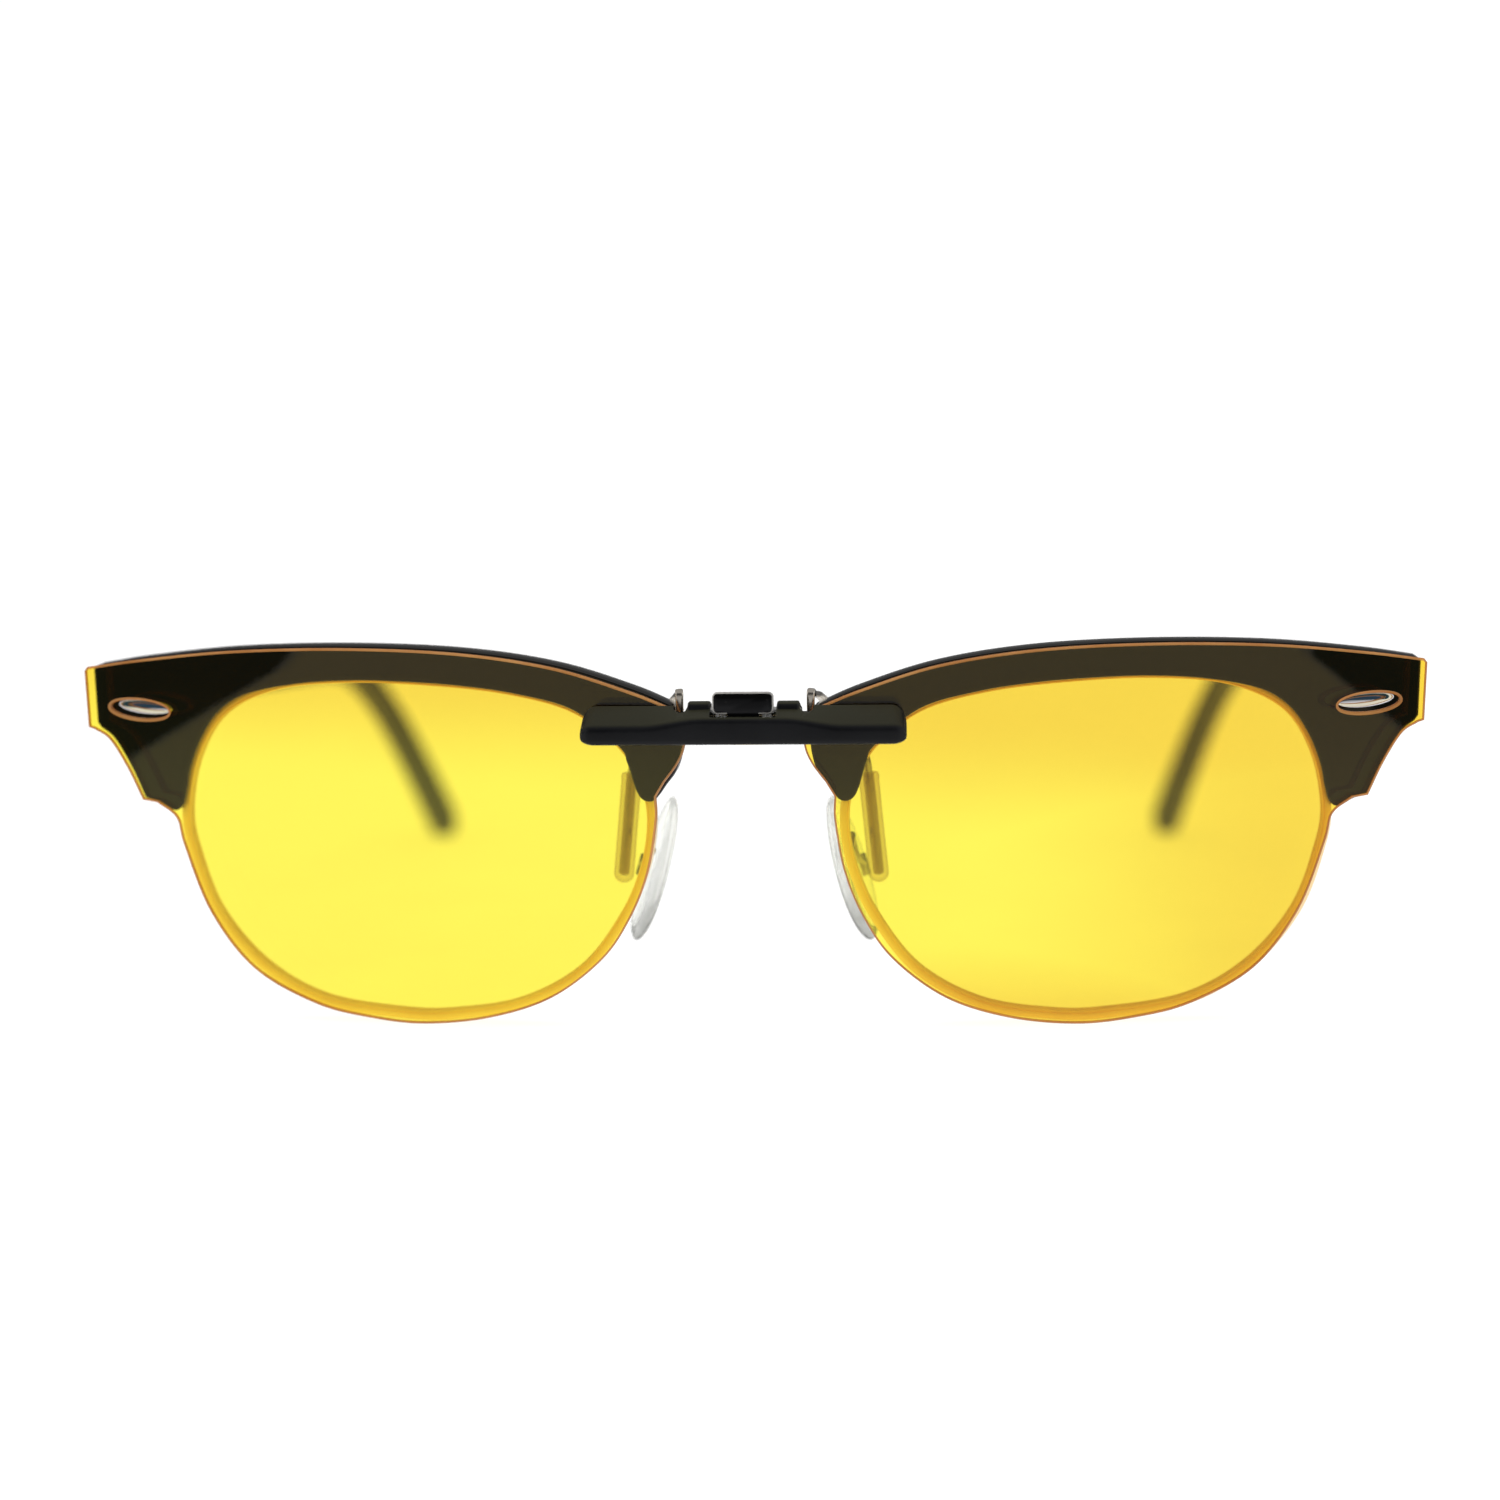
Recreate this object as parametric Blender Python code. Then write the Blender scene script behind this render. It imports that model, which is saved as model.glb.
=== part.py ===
"""Clip-on sunglasses, gripping the browline spectacles they are made for.

The clip-on has two tinted plates riveted behind a moulded bar. A sprung lever on a pin in
the bar carries two sleeved prongs that hold the spectacles from behind. The spectacles have
brow pieces on metal rims, a metal bridge, sprung nose pads and folding temples.
Model units are millimetres: x to the viewer's right, y to the back, z up. The root empty
moves the datum, on which the outlines are drawn, to the middle of the table underneath.
"""

import math

import bmesh
import bpy
from mathutils import Matrix, Vector

MM = 0.001
GAP = 0.3  # air between pieces that touch

# The whole front follows one gentle curve, which this radius gives in plan.
FRONT_RADIUS = 330.0
BAR_FRONT = -8.6
TEMPLE_BACK = 133.79
TABLE = -20.58  # rims and temple tips stand on this height
SIDES = {"left": -1, "right": 1}

# Depths (y) of each layer at the middle of the front.
BAR_WING_BACK = -5.8
BAR_BODY_BACK = -3.9
PLATE_FRONT, PLATE_BACK = -5.5, -4.5
BROW_FRONT, BROW_BACK = -2.2, 2.2
BROW_LIP = 0.8
RIM_FRONT, RIM_BACK = -1.1, 1.1
LENS_FRONT, LENS_BACK = -0.8, 0.7
BRIDGE_FRONT, BRIDGE_BACK = 0.0, 1.6
ARM_BACK = 3.8

# Bar and jaw.
BAR_HALF = 16.7
BAR_BODY_HALF = 5.95
BAR_BOTTOM, BAR_RIDGE, BAR_WAVE, BAR_CREST = 9.95, 11.8, 0.85, 13.8
WAVE_START, WAVE_END = 4.0, 10.5  # the ridge falls between these distances from the middle
SLOT_FRONT, NOTCH_X, NOTCH_RADIUS = -8.2, 6.5, 0.75
PIN_Y, PIN_Z, PIN_RADIUS = -5.5, 13.1, 0.45
LUG_INNER, LUG_OUTER, LUG_TOP = 3.45, 5.7, 14.1
HUB_HALF, HUB_RADIUS = 1.6, 1.1
TAB_HALF, TAB_BOTTOM, TAB_TOP, TAB_THICK = 3.15, 13.0, 15.25, 0.55
SKIRT_BOTTOM = 12.45
WEB_FRONT, WEB_BACK, WEB_BOTTOM, WEB_TOP = -3.6, -2.8, 12.0, 12.8
ARM_X, ARM_TOP = 6.8, 15.0
SLEEVE_TOP, SLEEVE_BOTTOM, SLEEVE_RADIUS = 5.5, -6.3, 1.08
RIVETS = ((9.6, 11.6), (14.2, 11.8))
RIVET_SHANK, RIVET_HEAD = 0.55, 1.1

# Spectacle front.
RIM_WIDTH = 1.0
BRIDGE_BOTTOM, BRIDGE_TOP, BRIDGE_HALF = 8.9, 12.3, 9.0
PLAQUE_X, PLAQUE_Z, PLAQUE_TILT = 64.4, 12.9, math.radians(5)
CUTOUT_HALF, PLAQUE_HALF = (3.22, 0.95), (3.0, 0.78)
BROW_SCREWS = ((22.0, 16.3), (57.5, 16.0))
BROW_SCREW_RADIUS = 0.7

# Hinges and temples.
HINGE_X, HINGE_Y, HINGE_Z = 64.0, 11.6, 13.6
LEAF_OUTER = 66.0
BARREL_RADIUS, BARREL_BORE, HINGE_SCREW_RADIUS = 1.5, 0.8, 0.5
TEMPLE_START = 9.8

# Nose pads.
PAD_CENTRE = Vector((10.6, 7.4, -5.3))
PAD_HALF = (3.6, 8.0, 0.95)
PAD_YAW, PAD_SPLAY = math.radians(68), math.radians(18)

# Outlines of the right half, (x, z). Each list is one smooth stretch between two corners.
PLATE_OUTLINE = (
    ((7.5, 13.4), (12, 15.2), (20, 17.65), (30, 19.1), (42, 19.55), (54, 19.2), (64, 18.2), (70.2, 17.3)),
    ((70.5, 16.9), (70.25, 10.9)),
    ((69.6, 10.7), (67.9, 9.6), (66.0, 6.6), (64.4, 3.25)),
    (
        (62.8, 3.0), (60.7, 1.4), (59.9, -1.6), (57.2, -8.6), (52.6, -14.5), (46, -18.1),
        (40, -19.5), (34, -20.0), (27, -19.2), (20.5, -17.0), (15.1, -12.9), (12.05, -8.45),
        (10.15, -3.7), (9.2, 1.6), (9.2, 4.2),
    ),
    ((8.3, 5.7), (6.9, 7.6), (6.15, 9.5), (6.2, 12.0)),
)
BROW_OUTLINE = (
    ((7.3, 13.2), (12, 15.2), (20, 17.65), (30, 19.1), (42, 19.55), (54, 19.2), (64, 18.15), (69.9, 17.2)),
    ((70.3, 16.8), (70.1, 11.05)),
    ((69.7, 10.5), (68.2, 9.3), (66.4, 6.3), (64.9, 3.0)),
    ((64.0, 2.75), (62.9, 2.3), (61.9, 1.75), (61.2, 1.8), (60.6, 2.5), (60.3, 3.6)),
    (
        (60.15, 4.2), (59.8, 6.1), (58.6, 9.2), (56.6, 12.2), (53.5, 14.2), (48, 15.4),
        (42, 15.85), (36, 15.75), (30, 15.35), (24, 14.5), (18, 12.8), (13.3, 9.0),
        (12.2, 7.4), (11.6, 6.0), (11.0, 4.75), (10.5, 3.85), (9.9, 3.4), (9.3, 3.7), (8.4, 4.8),
        (7.4, 6.3), (6.9, 7.8), (6.65, 9.6), (6.6, 12.4),
    ),
)
RIM_INNER = (
    (60.1, 1.5), (59.4, -3.0), (57.0, -9.2), (52.2, -14.7), (45.7, -18.2), (37.1, -19.45),
    (31.5, -19.4), (24.3, -18.1), (17.9, -14.5), (13.6, -8.9), (11.4, -3.9), (10.6, 0.8),
    (11.2, 4.6), (13.4, 8.6), (18.2, 12.4), (25, 14.3), (33, 15.2), (42, 15.5), (50, 14.7),
    (55.8, 12.0), (58.9, 7.3),
)

COLOURS = {
    "black_moulding": ((0.012, 0.012, 0.014), 0.45, 0.0),
    "yellow_lens": ((0.95, 0.82, 0.05), 0.05, 0.0),
    "clear_lens": ((0.85, 0.88, 0.88), 0.03, 0.0),
    "steel": ((0.62, 0.61, 0.58), 0.25, 1.0),
    "dark_steel": ((0.03, 0.03, 0.035), 0.35, 1.0),
    "gold_rim": ((0.75, 0.58, 0.28), 0.22, 1.0),
    "black_acetate": ((0.010, 0.009, 0.008), 0.12, 0.0),
    "silicone": ((0.86, 0.88, 0.88), 0.25, 0.0),
}


# ---- materials, scene and curves ------------------------------------------------------


def clear_scene():
    for obj in list(bpy.data.objects):
        bpy.data.objects.remove(obj, do_unlink=True)


def make_materials():
    for name, (colour, roughness, metallic) in COLOURS.items():
        material = bpy.data.materials.new(name)
        material.use_nodes = True
        shader = material.node_tree.nodes["Principled BSDF"]
        shader.inputs["Base Color"].default_value = (*colour, 1.0)
        shader.inputs["Roughness"].default_value = roughness
        shader.inputs["Metallic"].default_value = metallic


def make_empty(name, place, parent=None):
    """An empty at a place in model millimetres; a body's pieces hang from one."""
    empty = bpy.data.objects.new(name, None)
    bpy.context.scene.collection.objects.link(empty)
    empty.empty_display_size = 0.004
    origin = Vector(parent["place"]) if parent else Vector()
    empty["place"] = tuple(place)
    empty.parent = parent
    empty.location = (Vector(place) - origin) * MM
    return empty


def spline(points, closed=False, steps=5):
    """A Catmull-Rom curve through the points, which keeps them all."""
    count = len(points)
    if count < 3:
        return [Vector(p) for p in points]
    vectors = [Vector(p) for p in points]
    curve = []
    for i in range(count if closed else count - 1):
        if closed:
            a, b, c, d = (vectors[(i + k) % count] for k in (-1, 0, 1, 2))
        else:
            b, c = vectors[i], vectors[i + 1]
            a = vectors[i - 1] if i else 2 * b - c
            d = vectors[i + 2] if i + 2 < count else 2 * c - b
        for k in range(steps):
            t = k / steps
            square, cube = 2 * a - 5 * b + 4 * c - d, 3 * b - a - 3 * c + d
            curve.append(0.5 * (2 * b + (c - a) * t + square * t**2 + cube * t**3))
    if not closed:
        curve.append(vectors[-1])
    return curve


def smooth_outline(stretches):
    return [point for stretch in stretches for point in spline(stretch, steps=3)]


def grown(outline, distance):
    """The closed outline moved outwards by a distance; the outline runs either way round."""
    count = len(outline)
    area = sum(outline[i - 1].cross(outline[i]) for i in range(count))
    turn = distance if area > 0 else -distance
    moved = []
    for i, point in enumerate(outline):
        along = (outline[(i + 1) % count] - outline[i - 1]).normalized()
        moved.append(point + Vector((along.y, -along.x)) * turn)
    return moved


def ellipse(centre_x, centre_z, half_x, half_z, tilt=0.0, count=24):
    points = []
    for k in range(count):
        angle = math.tau * k / count
        x, z = half_x * math.cos(angle), half_z * math.sin(angle)
        points.append(
            Vector((
                centre_x + x * math.cos(tilt) - z * math.sin(tilt),
                centre_z + x * math.sin(tilt) + z * math.cos(tilt),
            ))
        )
    return points


def sag(x):
    return x * x / (2 * FRONT_RADIUS)


# ---- solids ---------------------------------------------------------------------------


def finish(name, bm, material, body, sharp=35, hidden=False):
    """Writes the bmesh, in model millimetres, as one object under its body's empty."""
    bmesh.ops.recalc_face_normals(bm, faces=bm.faces)
    if bm.calc_volume(signed=True) < 0:
        bmesh.ops.reverse_faces(bm, faces=bm.faces)
    origin = Vector(body["place"])
    for vertex in bm.verts:
        vertex.co = (vertex.co - origin) * MM
    mesh = bpy.data.meshes.new(name)
    bm.to_mesh(mesh)
    bm.free()
    mesh.shade_smooth()
    mesh.set_sharp_from_angle(angle=math.radians(sharp))
    obj = bpy.data.objects.new(name, mesh)
    bpy.context.scene.collection.objects.link(obj)
    obj.parent = body
    if hidden:
        obj.hide_render = True
        obj.display_type = "WIRE"
    else:
        mesh.materials.append(bpy.data.materials[material])
    return obj


def cutter(name, bm, body):
    return finish(name + "_cutter", bm, None, body, hidden=True)


def boolean(obj, other, operation="DIFFERENCE"):
    modifier = obj.modifiers.new(other.name, "BOOLEAN")
    modifier.solver = "MANIFOLD"
    modifier.operation = operation
    modifier.object = other


def bevel(obj, width, segments=2, angle=40):
    modifier = obj.modifiers.new("edges", "BEVEL")
    modifier.width = width * MM
    modifier.segments = segments
    modifier.limit_method = "ANGLE"
    modifier.angle_limit = math.radians(angle)


def add_prism(bm, outline, low, high, side=1, holes=(), axis="y"):
    """Extrudes a closed outline, with any holes, from low to high along an axis.

    Along y the outline is (x, z); along z it is (x, y); along x it is (y, z).
    """

    def place(point, depth):
        if axis == "y":
            return Vector((side * point[0], depth, point[1]))
        if axis == "z":
            return Vector((side * point[0], point[1], depth))
        return Vector((side * depth, point[0], point[1]))

    edges = []
    for loop in (outline, *holes):
        ring = [bm.verts.new(place(point, low)) for point in loop]
        edges += [bm.edges.new((ring[i - 1], ring[i])) for i in range(len(ring))]
    filled = bmesh.ops.triangle_fill(bm, use_beauty=True, edges=edges)
    faces = [item for item in filled["geom"] if isinstance(item, bmesh.types.BMFace)]
    extruded = bmesh.ops.extrude_face_region(bm, geom=faces, use_keep_orig=True)
    moved = [item for item in extruded["geom"] if isinstance(item, bmesh.types.BMVert)]
    travel = place((0, 0), high) - place((0, 0), low)
    bmesh.ops.translate(bm, verts=moved, vec=travel)


def add_box(bm, low, high, side=1):
    outline = [(low[0], low[2]), (high[0], low[2]), (high[0], high[2]), (low[0], high[2])]
    add_prism(bm, outline, low[1], high[1], side)


def bend(bm, every=7.0):
    """Cuts the flat solid across x, then curves it to the front's radius."""
    low = min(v.co.x for v in bm.verts)
    high = max(v.co.x for v in bm.verts)
    for k in range(1, int((high - low) / every) + 1):
        x = low + every * k - every / 2
        geometry = bm.verts[:] + bm.edges[:] + bm.faces[:]
        bmesh.ops.bisect_plane(bm, geom=geometry, dist=0.001, plane_co=(x, 0, 0), plane_no=(1, 0, 0))
    for vertex in bm.verts:
        vertex.co.y += sag(vertex.co.x)


def add_cylinder(bm, centre, radius, length, axis, segments=16):
    """A cylinder centred on a point, along x, y or z."""
    circle = ellipse(0, 0, radius, radius, count=segments)
    before = len(bm.verts)
    add_prism(bm, circle, -length / 2, length / 2, axis=axis)
    bm.verts.ensure_lookup_table()
    bmesh.ops.translate(bm, verts=bm.verts[before:], vec=centre)


def add_sweep(bm, path, sizes, segments=12, power=2.0, up=Vector((0, 0, 1))):
    """Sweeps a super-ellipse along the path; sizes are (half width, half height) at each station."""
    rings = []
    across = None
    for i, point in enumerate(path):
        ahead = path[min(i + 1, len(path) - 1)] - path[max(i - 1, 0)]
        ahead.normalize()
        if across is None:
            across = ahead.cross(up)
        across = (across - ahead * across.dot(ahead)).normalized()
        upright = across.cross(ahead)
        ring = []
        for k in range(segments):
            angle = math.tau * (k + 0.5) / segments
            c, s = math.cos(angle), math.sin(angle)
            u = math.copysign(abs(c) ** (2 / power), c) * sizes[i][0]
            v = math.copysign(abs(s) ** (2 / power), s) * sizes[i][1]
            ring.append(bm.verts.new(point + across * u + upright * v))
        rings.append(ring)
    for a, b in zip(rings, rings[1:]):
        for k in range(segments):
            bm.faces.new((a[k - 1], a[k], b[k], b[k - 1]))
    bm.faces.new(rings[0])
    bm.faces.new(rings[-1])


def rounded_sizes(path, size_at, cap):
    """Section sizes along a path, closing in over the cap length at both ends."""
    lengths = [0.0]
    for a, b in zip(path, path[1:]):
        lengths.append(lengths[-1] + (b - a).length)
    sizes = []
    for at in lengths:
        near = min(at, lengths[-1] - at)
        share = 1.0 if near >= cap else math.sqrt(max(1 - (1 - near / cap) ** 2, 0.06))
        width, height = size_at(at / lengths[-1])
        sizes.append((width * share, height * share))
    return sizes


def with_caps(points, cap):
    """The path with extra stations near both ends, where the section closes in."""
    first, last = (points[1] - points[0]).normalized(), (points[-2] - points[-1]).normalized()
    shares = (0.0, 0.12, 0.35, 0.65, 1.0)
    start = [points[0] + first * cap * s for s in shares]
    end = [points[-1] + last * cap * s for s in reversed(shares)]
    middle = [
        p for p in points if (p - points[0]).length > 1.2 * cap and (p - points[-1]).length > 1.2 * cap
    ]
    return start + middle + end


# ---- the clip-on ----------------------------------------------------------------------


def ridge_height(x):
    """The height of the bar's front ridge, which swells over the middle of the bar."""
    share = min(max((abs(x) - WAVE_START) / (WAVE_END - WAVE_START), 0), 1)
    return BAR_RIDGE + BAR_WAVE * (0.5 + 0.5 * math.cos(math.pi * share))


def make_bar(body):
    """The moulded bar: two wings, a deeper body with the pin lugs, and a slot for the hub."""
    bm = bmesh.new()
    end = 1.3
    half_plan = [
        (BAR_BODY_HALF, BAR_BODY_BACK), (BAR_BODY_HALF, BAR_WING_BACK),
        (BAR_HALF - end * 0.3, BAR_WING_BACK), (BAR_HALF, BAR_WING_BACK - end * 0.4),
        (BAR_HALF, BAR_FRONT + end), (BAR_HALF - end, BAR_FRONT + 0.25),
        (12.5, BAR_FRONT), (10.5, BAR_FRONT), (8.9, BAR_FRONT), (7.3, BAR_FRONT), (5.7, BAR_FRONT),
        (4.0, BAR_FRONT), (0.0, BAR_FRONT),
    ]
    plan = half_plan + [(-x, y) for x, y in reversed(half_plan[:-1])]
    add_prism(bm, plan, BAR_BOTTOM, BAR_RIDGE, axis="z")
    for vertex in bm.verts:
        if vertex.co.z > BAR_BOTTOM + 0.1:
            ridge = ridge_height(vertex.co.x)
            rise = min(max((vertex.co.y - BAR_FRONT) / (BAR_WING_BACK - BAR_FRONT), 0), 1)
            vertex.co.z = ridge + (BAR_CREST - ridge) * rise
    bar = finish("clip_bar", bm, "black_moulding", body)
    bevel(bar, 0.55, segments=2, angle=50)

    lugs = bmesh.new()
    lug = [(PIN_Y - 1.3, 12.0), (PIN_Y - 1.2, LUG_TOP - 0.4), (PIN_Y - 0.7, LUG_TOP),
           (PIN_Y + 0.7, LUG_TOP), (PIN_Y + 1.1, LUG_TOP - 0.4), (PIN_Y + 1.3, 12.0)]
    add_prism(lugs, lug, LUG_INNER, LUG_OUTER, 1, axis="x")
    add_prism(lugs, lug, LUG_INNER, LUG_OUTER, -1, axis="x")
    boolean(bar, cutter("lugs", lugs, body), "UNION")

    slot = bmesh.new()
    add_box(slot, (-LUG_INNER + 0.05, SLOT_FRONT, PIN_Z - 1.6), (LUG_INNER - 0.05, 0, 20))
    boolean(bar, cutter("hub_slot", slot, body))
    notches = bmesh.new()
    for side in SIDES.values():
        add_cylinder(notches, (side * NOTCH_X, BAR_WING_BACK + 1.6, BAR_CREST), NOTCH_RADIUS, 7.0, "y", 16)
    boolean(bar, cutter("lug_notches", notches, body))
    bore = bmesh.new()
    add_cylinder(bore, (0, PIN_Y, PIN_Z), PIN_RADIUS + 0.3, 2 * LUG_OUTER + 3, "x")
    boolean(bar, cutter("pin_bore", bore, body))
    holes = bmesh.new()
    for side in SIDES.values():
        for x, z in RIVETS:
            add_cylinder(holes, (side * x, -5.3, z), RIVET_SHANK + GAP, 4.2, "y", 12)
    boolean(bar, cutter("rivet_holes", holes, body))


def make_plate(side_name, side, body):
    """One flat-cut tinted plate, with the slot that shows the spectacles' plaque."""
    bm = bmesh.new()
    outline = smooth_outline(PLATE_OUTLINE)
    holes = [ellipse(PLAQUE_X, PLAQUE_Z, *CUTOUT_HALF, tilt=PLAQUE_TILT)]
    holes += [ellipse(x, z, RIVET_SHANK + GAP, RIVET_SHANK + GAP, count=12) for x, z in RIVETS]
    add_prism(bm, outline, PLATE_FRONT, PLATE_BACK, side, holes)
    bend(bm)
    finish(f"lens_plate_{side_name}", bm, "yellow_lens", body)


def make_rivets(side_name, side, body):
    """Rivets from behind the plate into the bar."""
    for number, (x, z) in enumerate(RIVETS, 1):
        back = PLATE_BACK + sag(x) + GAP
        bm = bmesh.new()
        rings = ((0.0, back + 0.55), (0.62, back + 0.5), (RIVET_HEAD, back + 0.15), (RIVET_HEAD, back),
                 (RIVET_SHANK, back), (RIVET_SHANK, -7.1), (0.0, -7.1))
        add_turned(bm, rings, Matrix.Translation((side * x, 0, z)), 14)
        finish(f"lens_rivet_{side_name}_{number}", bm, "steel", body)


def add_turned(bm, profile, place, segments):
    """Turns a (radius, y) profile, on-axis at both ends, about the y axis of a placing matrix."""
    rings = []
    for radius, y in profile:
        if radius == 0:
            rings.append([bm.verts.new(place @ Vector((0, y, 0)))])
            continue
        rings.append([
            bm.verts.new(place @ Vector((
                radius * math.cos(math.tau * k / segments), y, radius * math.sin(math.tau * k / segments)
            )))
            for k in range(segments)
        ])
    for a, b in zip(rings, rings[1:]):
        for k in range(segments):
            corners = [a[k - 1] if len(a) > 1 else a[0], a[k] if len(a) > 1 else None,
                       b[k] if len(b) > 1 else b[0], b[k - 1] if len(b) > 1 else None]
            bm.faces.new([corner for corner in corners if corner])


def make_lever(body):
    """The thumb lever: a hub on the pin, a tab in front of it and a cross web out to both arms."""
    bm = bmesh.new()
    add_cylinder(bm, (0, PIN_Y, PIN_Z), HUB_RADIUS, 2 * HUB_HALF, "x", 20)
    lever = finish("clip_lever", bm, "dark_steel", body)

    tab = bmesh.new()
    corner = 0.45
    outline = []
    for centre_x, centre_z, start in (
        (TAB_HALF - corner, TAB_TOP - corner, 0), (corner - TAB_HALF, TAB_TOP - corner, 90),
        (corner - TAB_HALF, TAB_BOTTOM + corner, 180), (TAB_HALF - corner, TAB_BOTTOM + corner, 270),
    ):
        for turn in (0, 30, 60, 90):
            angle = math.radians(start + turn)
            outline.append((centre_x + corner * math.cos(angle), centre_z + corner * math.sin(angle)))
    tab_back = PIN_Y - HUB_RADIUS - 0.1
    add_prism(tab, outline, tab_back - TAB_THICK, tab_back)
    boolean(lever, cutter("lever_tab", tab, body), "UNION")

    skirt = bmesh.new()
    add_box(skirt, (-HUB_HALF, tab_back - TAB_THICK, SKIRT_BOTTOM), (HUB_HALF, tab_back, TAB_BOTTOM + 0.3))
    boolean(lever, cutter("lever_skirt", skirt, body), "UNION")

    neck = bmesh.new()
    low_corner = (0.1 - HUB_HALF, tab_back - 0.2, TAB_BOTTOM + 0.1)
    add_box(neck, low_corner, (HUB_HALF - 0.1, PIN_Y, TAB_BOTTOM + 0.7))
    boolean(lever, cutter("lever_neck", neck, body), "UNION")

    web = bmesh.new()
    reach = ARM_X + 0.6
    plan = [
        (-HUB_HALF + 0.1, PIN_Y), (HUB_HALF - 0.1, PIN_Y), (HUB_HALF - 0.1, WEB_FRONT),
        (reach, WEB_FRONT), (reach, WEB_BACK), (-reach, WEB_BACK), (-reach, WEB_FRONT),
        (-HUB_HALF + 0.1, WEB_FRONT),
    ]
    add_prism(web, plan, WEB_BOTTOM, WEB_TOP, axis="z")
    boolean(lever, cutter("lever_web", web, body), "UNION")

    bore = bmesh.new()
    add_cylinder(bore, (0, PIN_Y, PIN_Z), PIN_RADIUS + GAP, 2 * HUB_HALF + 2, "x")
    boolean(lever, cutter("lever_bore", bore, body))


def make_pin(body):
    bm = bmesh.new()
    turn = Matrix.Translation((0, PIN_Y, PIN_Z)) @ Matrix.Rotation(math.radians(90), 4, "Z")
    half = LUG_OUTER + 0.25
    add_turned(
        bm,
        ((0, half), (PIN_RADIUS - 0.15, half), (PIN_RADIUS, half - 0.15),
         (PIN_RADIUS, -half + 0.15), (PIN_RADIUS - 0.15, -half), (0, -half)),
        turn, 16,
    )
    finish("clip_hinge_pin", bm, "steel", body)


def make_spring(side_name, side, body):
    """A torsion spring round the pin between the hub and a lug, with two short legs."""
    wire, coil_radius, turns, per_turn = 0.15, 0.86, 2.5, 12
    start, pitch = HUB_HALF + 0.4, 0.4
    path = [Vector((side * start, PIN_Y - 0.9, PIN_Z - coil_radius))]
    for k in range(int(turns * per_turn) + 1):
        angle = -math.pi / 2 + math.tau * k / per_turn
        x = start + pitch * k / per_turn
        y, z = coil_radius * math.cos(angle), coil_radius * math.sin(angle)
        path.append(Vector((side * x, PIN_Y + y, PIN_Z + z)))
    last = path[-1]
    path.append(last + Vector((0, 0.9, 0.0)))
    bm = bmesh.new()
    add_sweep(bm, path, [(wire, wire)] * len(path), segments=5, up=Vector((1, 0, 0)))
    finish(f"torsion_spring_{side_name}", bm, "steel", body, sharp=80)


def arm_path(side):
    middle = (WEB_FRONT + WEB_BACK) / 2
    points = (
        (ARM_X, middle, WEB_TOP + GAP), (ARM_X, middle, ARM_TOP - 0.55), (6.84, middle + 0.4, ARM_TOP - 0.12),
        (6.95, -1.6, 14.5), (7.1, 0.4, 14.15), (7.35, 2.1, 13.95), (7.9, 3.3, 13.3), (8.8, ARM_BACK, 12.3),
        (10.0, ARM_BACK, 11.0), (11.2, ARM_BACK, 9.5), (12.1, ARM_BACK, 7.4), (12.55, ARM_BACK, 5.0),
        (13.03, ARM_BACK, 0.0), (13.55, ARM_BACK, -5.4),
    )
    return [Vector((side * x, y, z)) for x, y, z in spline(points, steps=2)]


def make_arm(side_name, side, body):
    """A steel strip that rises from the web, crosses the bridge and ends as a wire behind the lens."""
    path = arm_path(side)
    sizes = [(0.42, 0.26 + 0.16 * min(i / 12, 1)) for i in range(len(path))]
    bm = bmesh.new()
    add_sweep(bm, path, sizes, segments=8, power=2.6, up=Vector((0, 1, 0)))
    finish(f"prong_arm_{side_name}", bm, "dark_steel", body)


def sleeve_shape(side, radius, top, bottom, cap):
    tilt = Vector((side * 1.0, 0, -10.4)).normalized()
    start = Vector((side * (12.5 - (top - SLEEVE_TOP) / 10.4), ARM_BACK, top))
    end = start + tilt * (top - bottom)
    path = with_caps([start.lerp(end, k / 6) for k in range(7)], cap)
    return path, rounded_sizes(path, lambda share: (radius, radius), cap)


def make_sleeve(side_name, side, body):
    """The soft sleeve over the end of an arm: a thimble, open at its top."""
    bm = bmesh.new()
    path, sizes = sleeve_shape(side, SLEEVE_RADIUS, SLEEVE_TOP, SLEEVE_BOTTOM, 0.8)
    add_sweep(bm, path, sizes, segments=12)
    sleeve = finish(f"prong_sleeve_{side_name}", bm, "silicone", body)
    inner = bmesh.new()
    path, sizes = sleeve_shape(side, 0.74, SLEEVE_TOP + 2, SLEEVE_BOTTOM + 0.6, 0.5)
    add_sweep(inner, path, sizes, segments=8)
    boolean(sleeve, cutter(f"sleeve_bore_{side_name}", inner, body))


# ---- the spectacle front --------------------------------------------------------------


def make_brow(side_name, side, body):
    """A brow piece: full depth above the rim, and a thin lip in front of it."""
    bm = bmesh.new()
    add_prism(bm, smooth_outline(BROW_OUTLINE), BROW_FRONT, BROW_BACK, side)
    bend(bm)
    brow = finish(f"brow_{side_name}", bm, "black_acetate", body)

    pocket = bmesh.new()
    rim_outer = grown(spline(RIM_INNER, closed=True, steps=3), RIM_WIDTH + GAP)
    add_prism(pocket, rim_outer, BROW_FRONT + BROW_LIP, BROW_BACK + 3, side)
    bend(pocket)
    boolean(brow, cutter(f"rim_pocket_{side_name}", pocket, body))

    seat = bmesh.new()
    add_box(seat, (4, BRIDGE_FRONT - GAP, BRIDGE_BOTTOM - GAP), (12, 8, BRIDGE_TOP + GAP), side)
    boolean(brow, cutter(f"bridge_seat_{side_name}", seat, body))

    screws = bmesh.new()
    for x, z in BROW_SCREWS:
        add_cylinder(screws, (side * x, BROW_BACK + sag(x), z), BROW_SCREW_RADIUS + GAP, 2.6, "y", 12)
    boolean(brow, cutter(f"screw_seats_{side_name}", screws, body))


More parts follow.
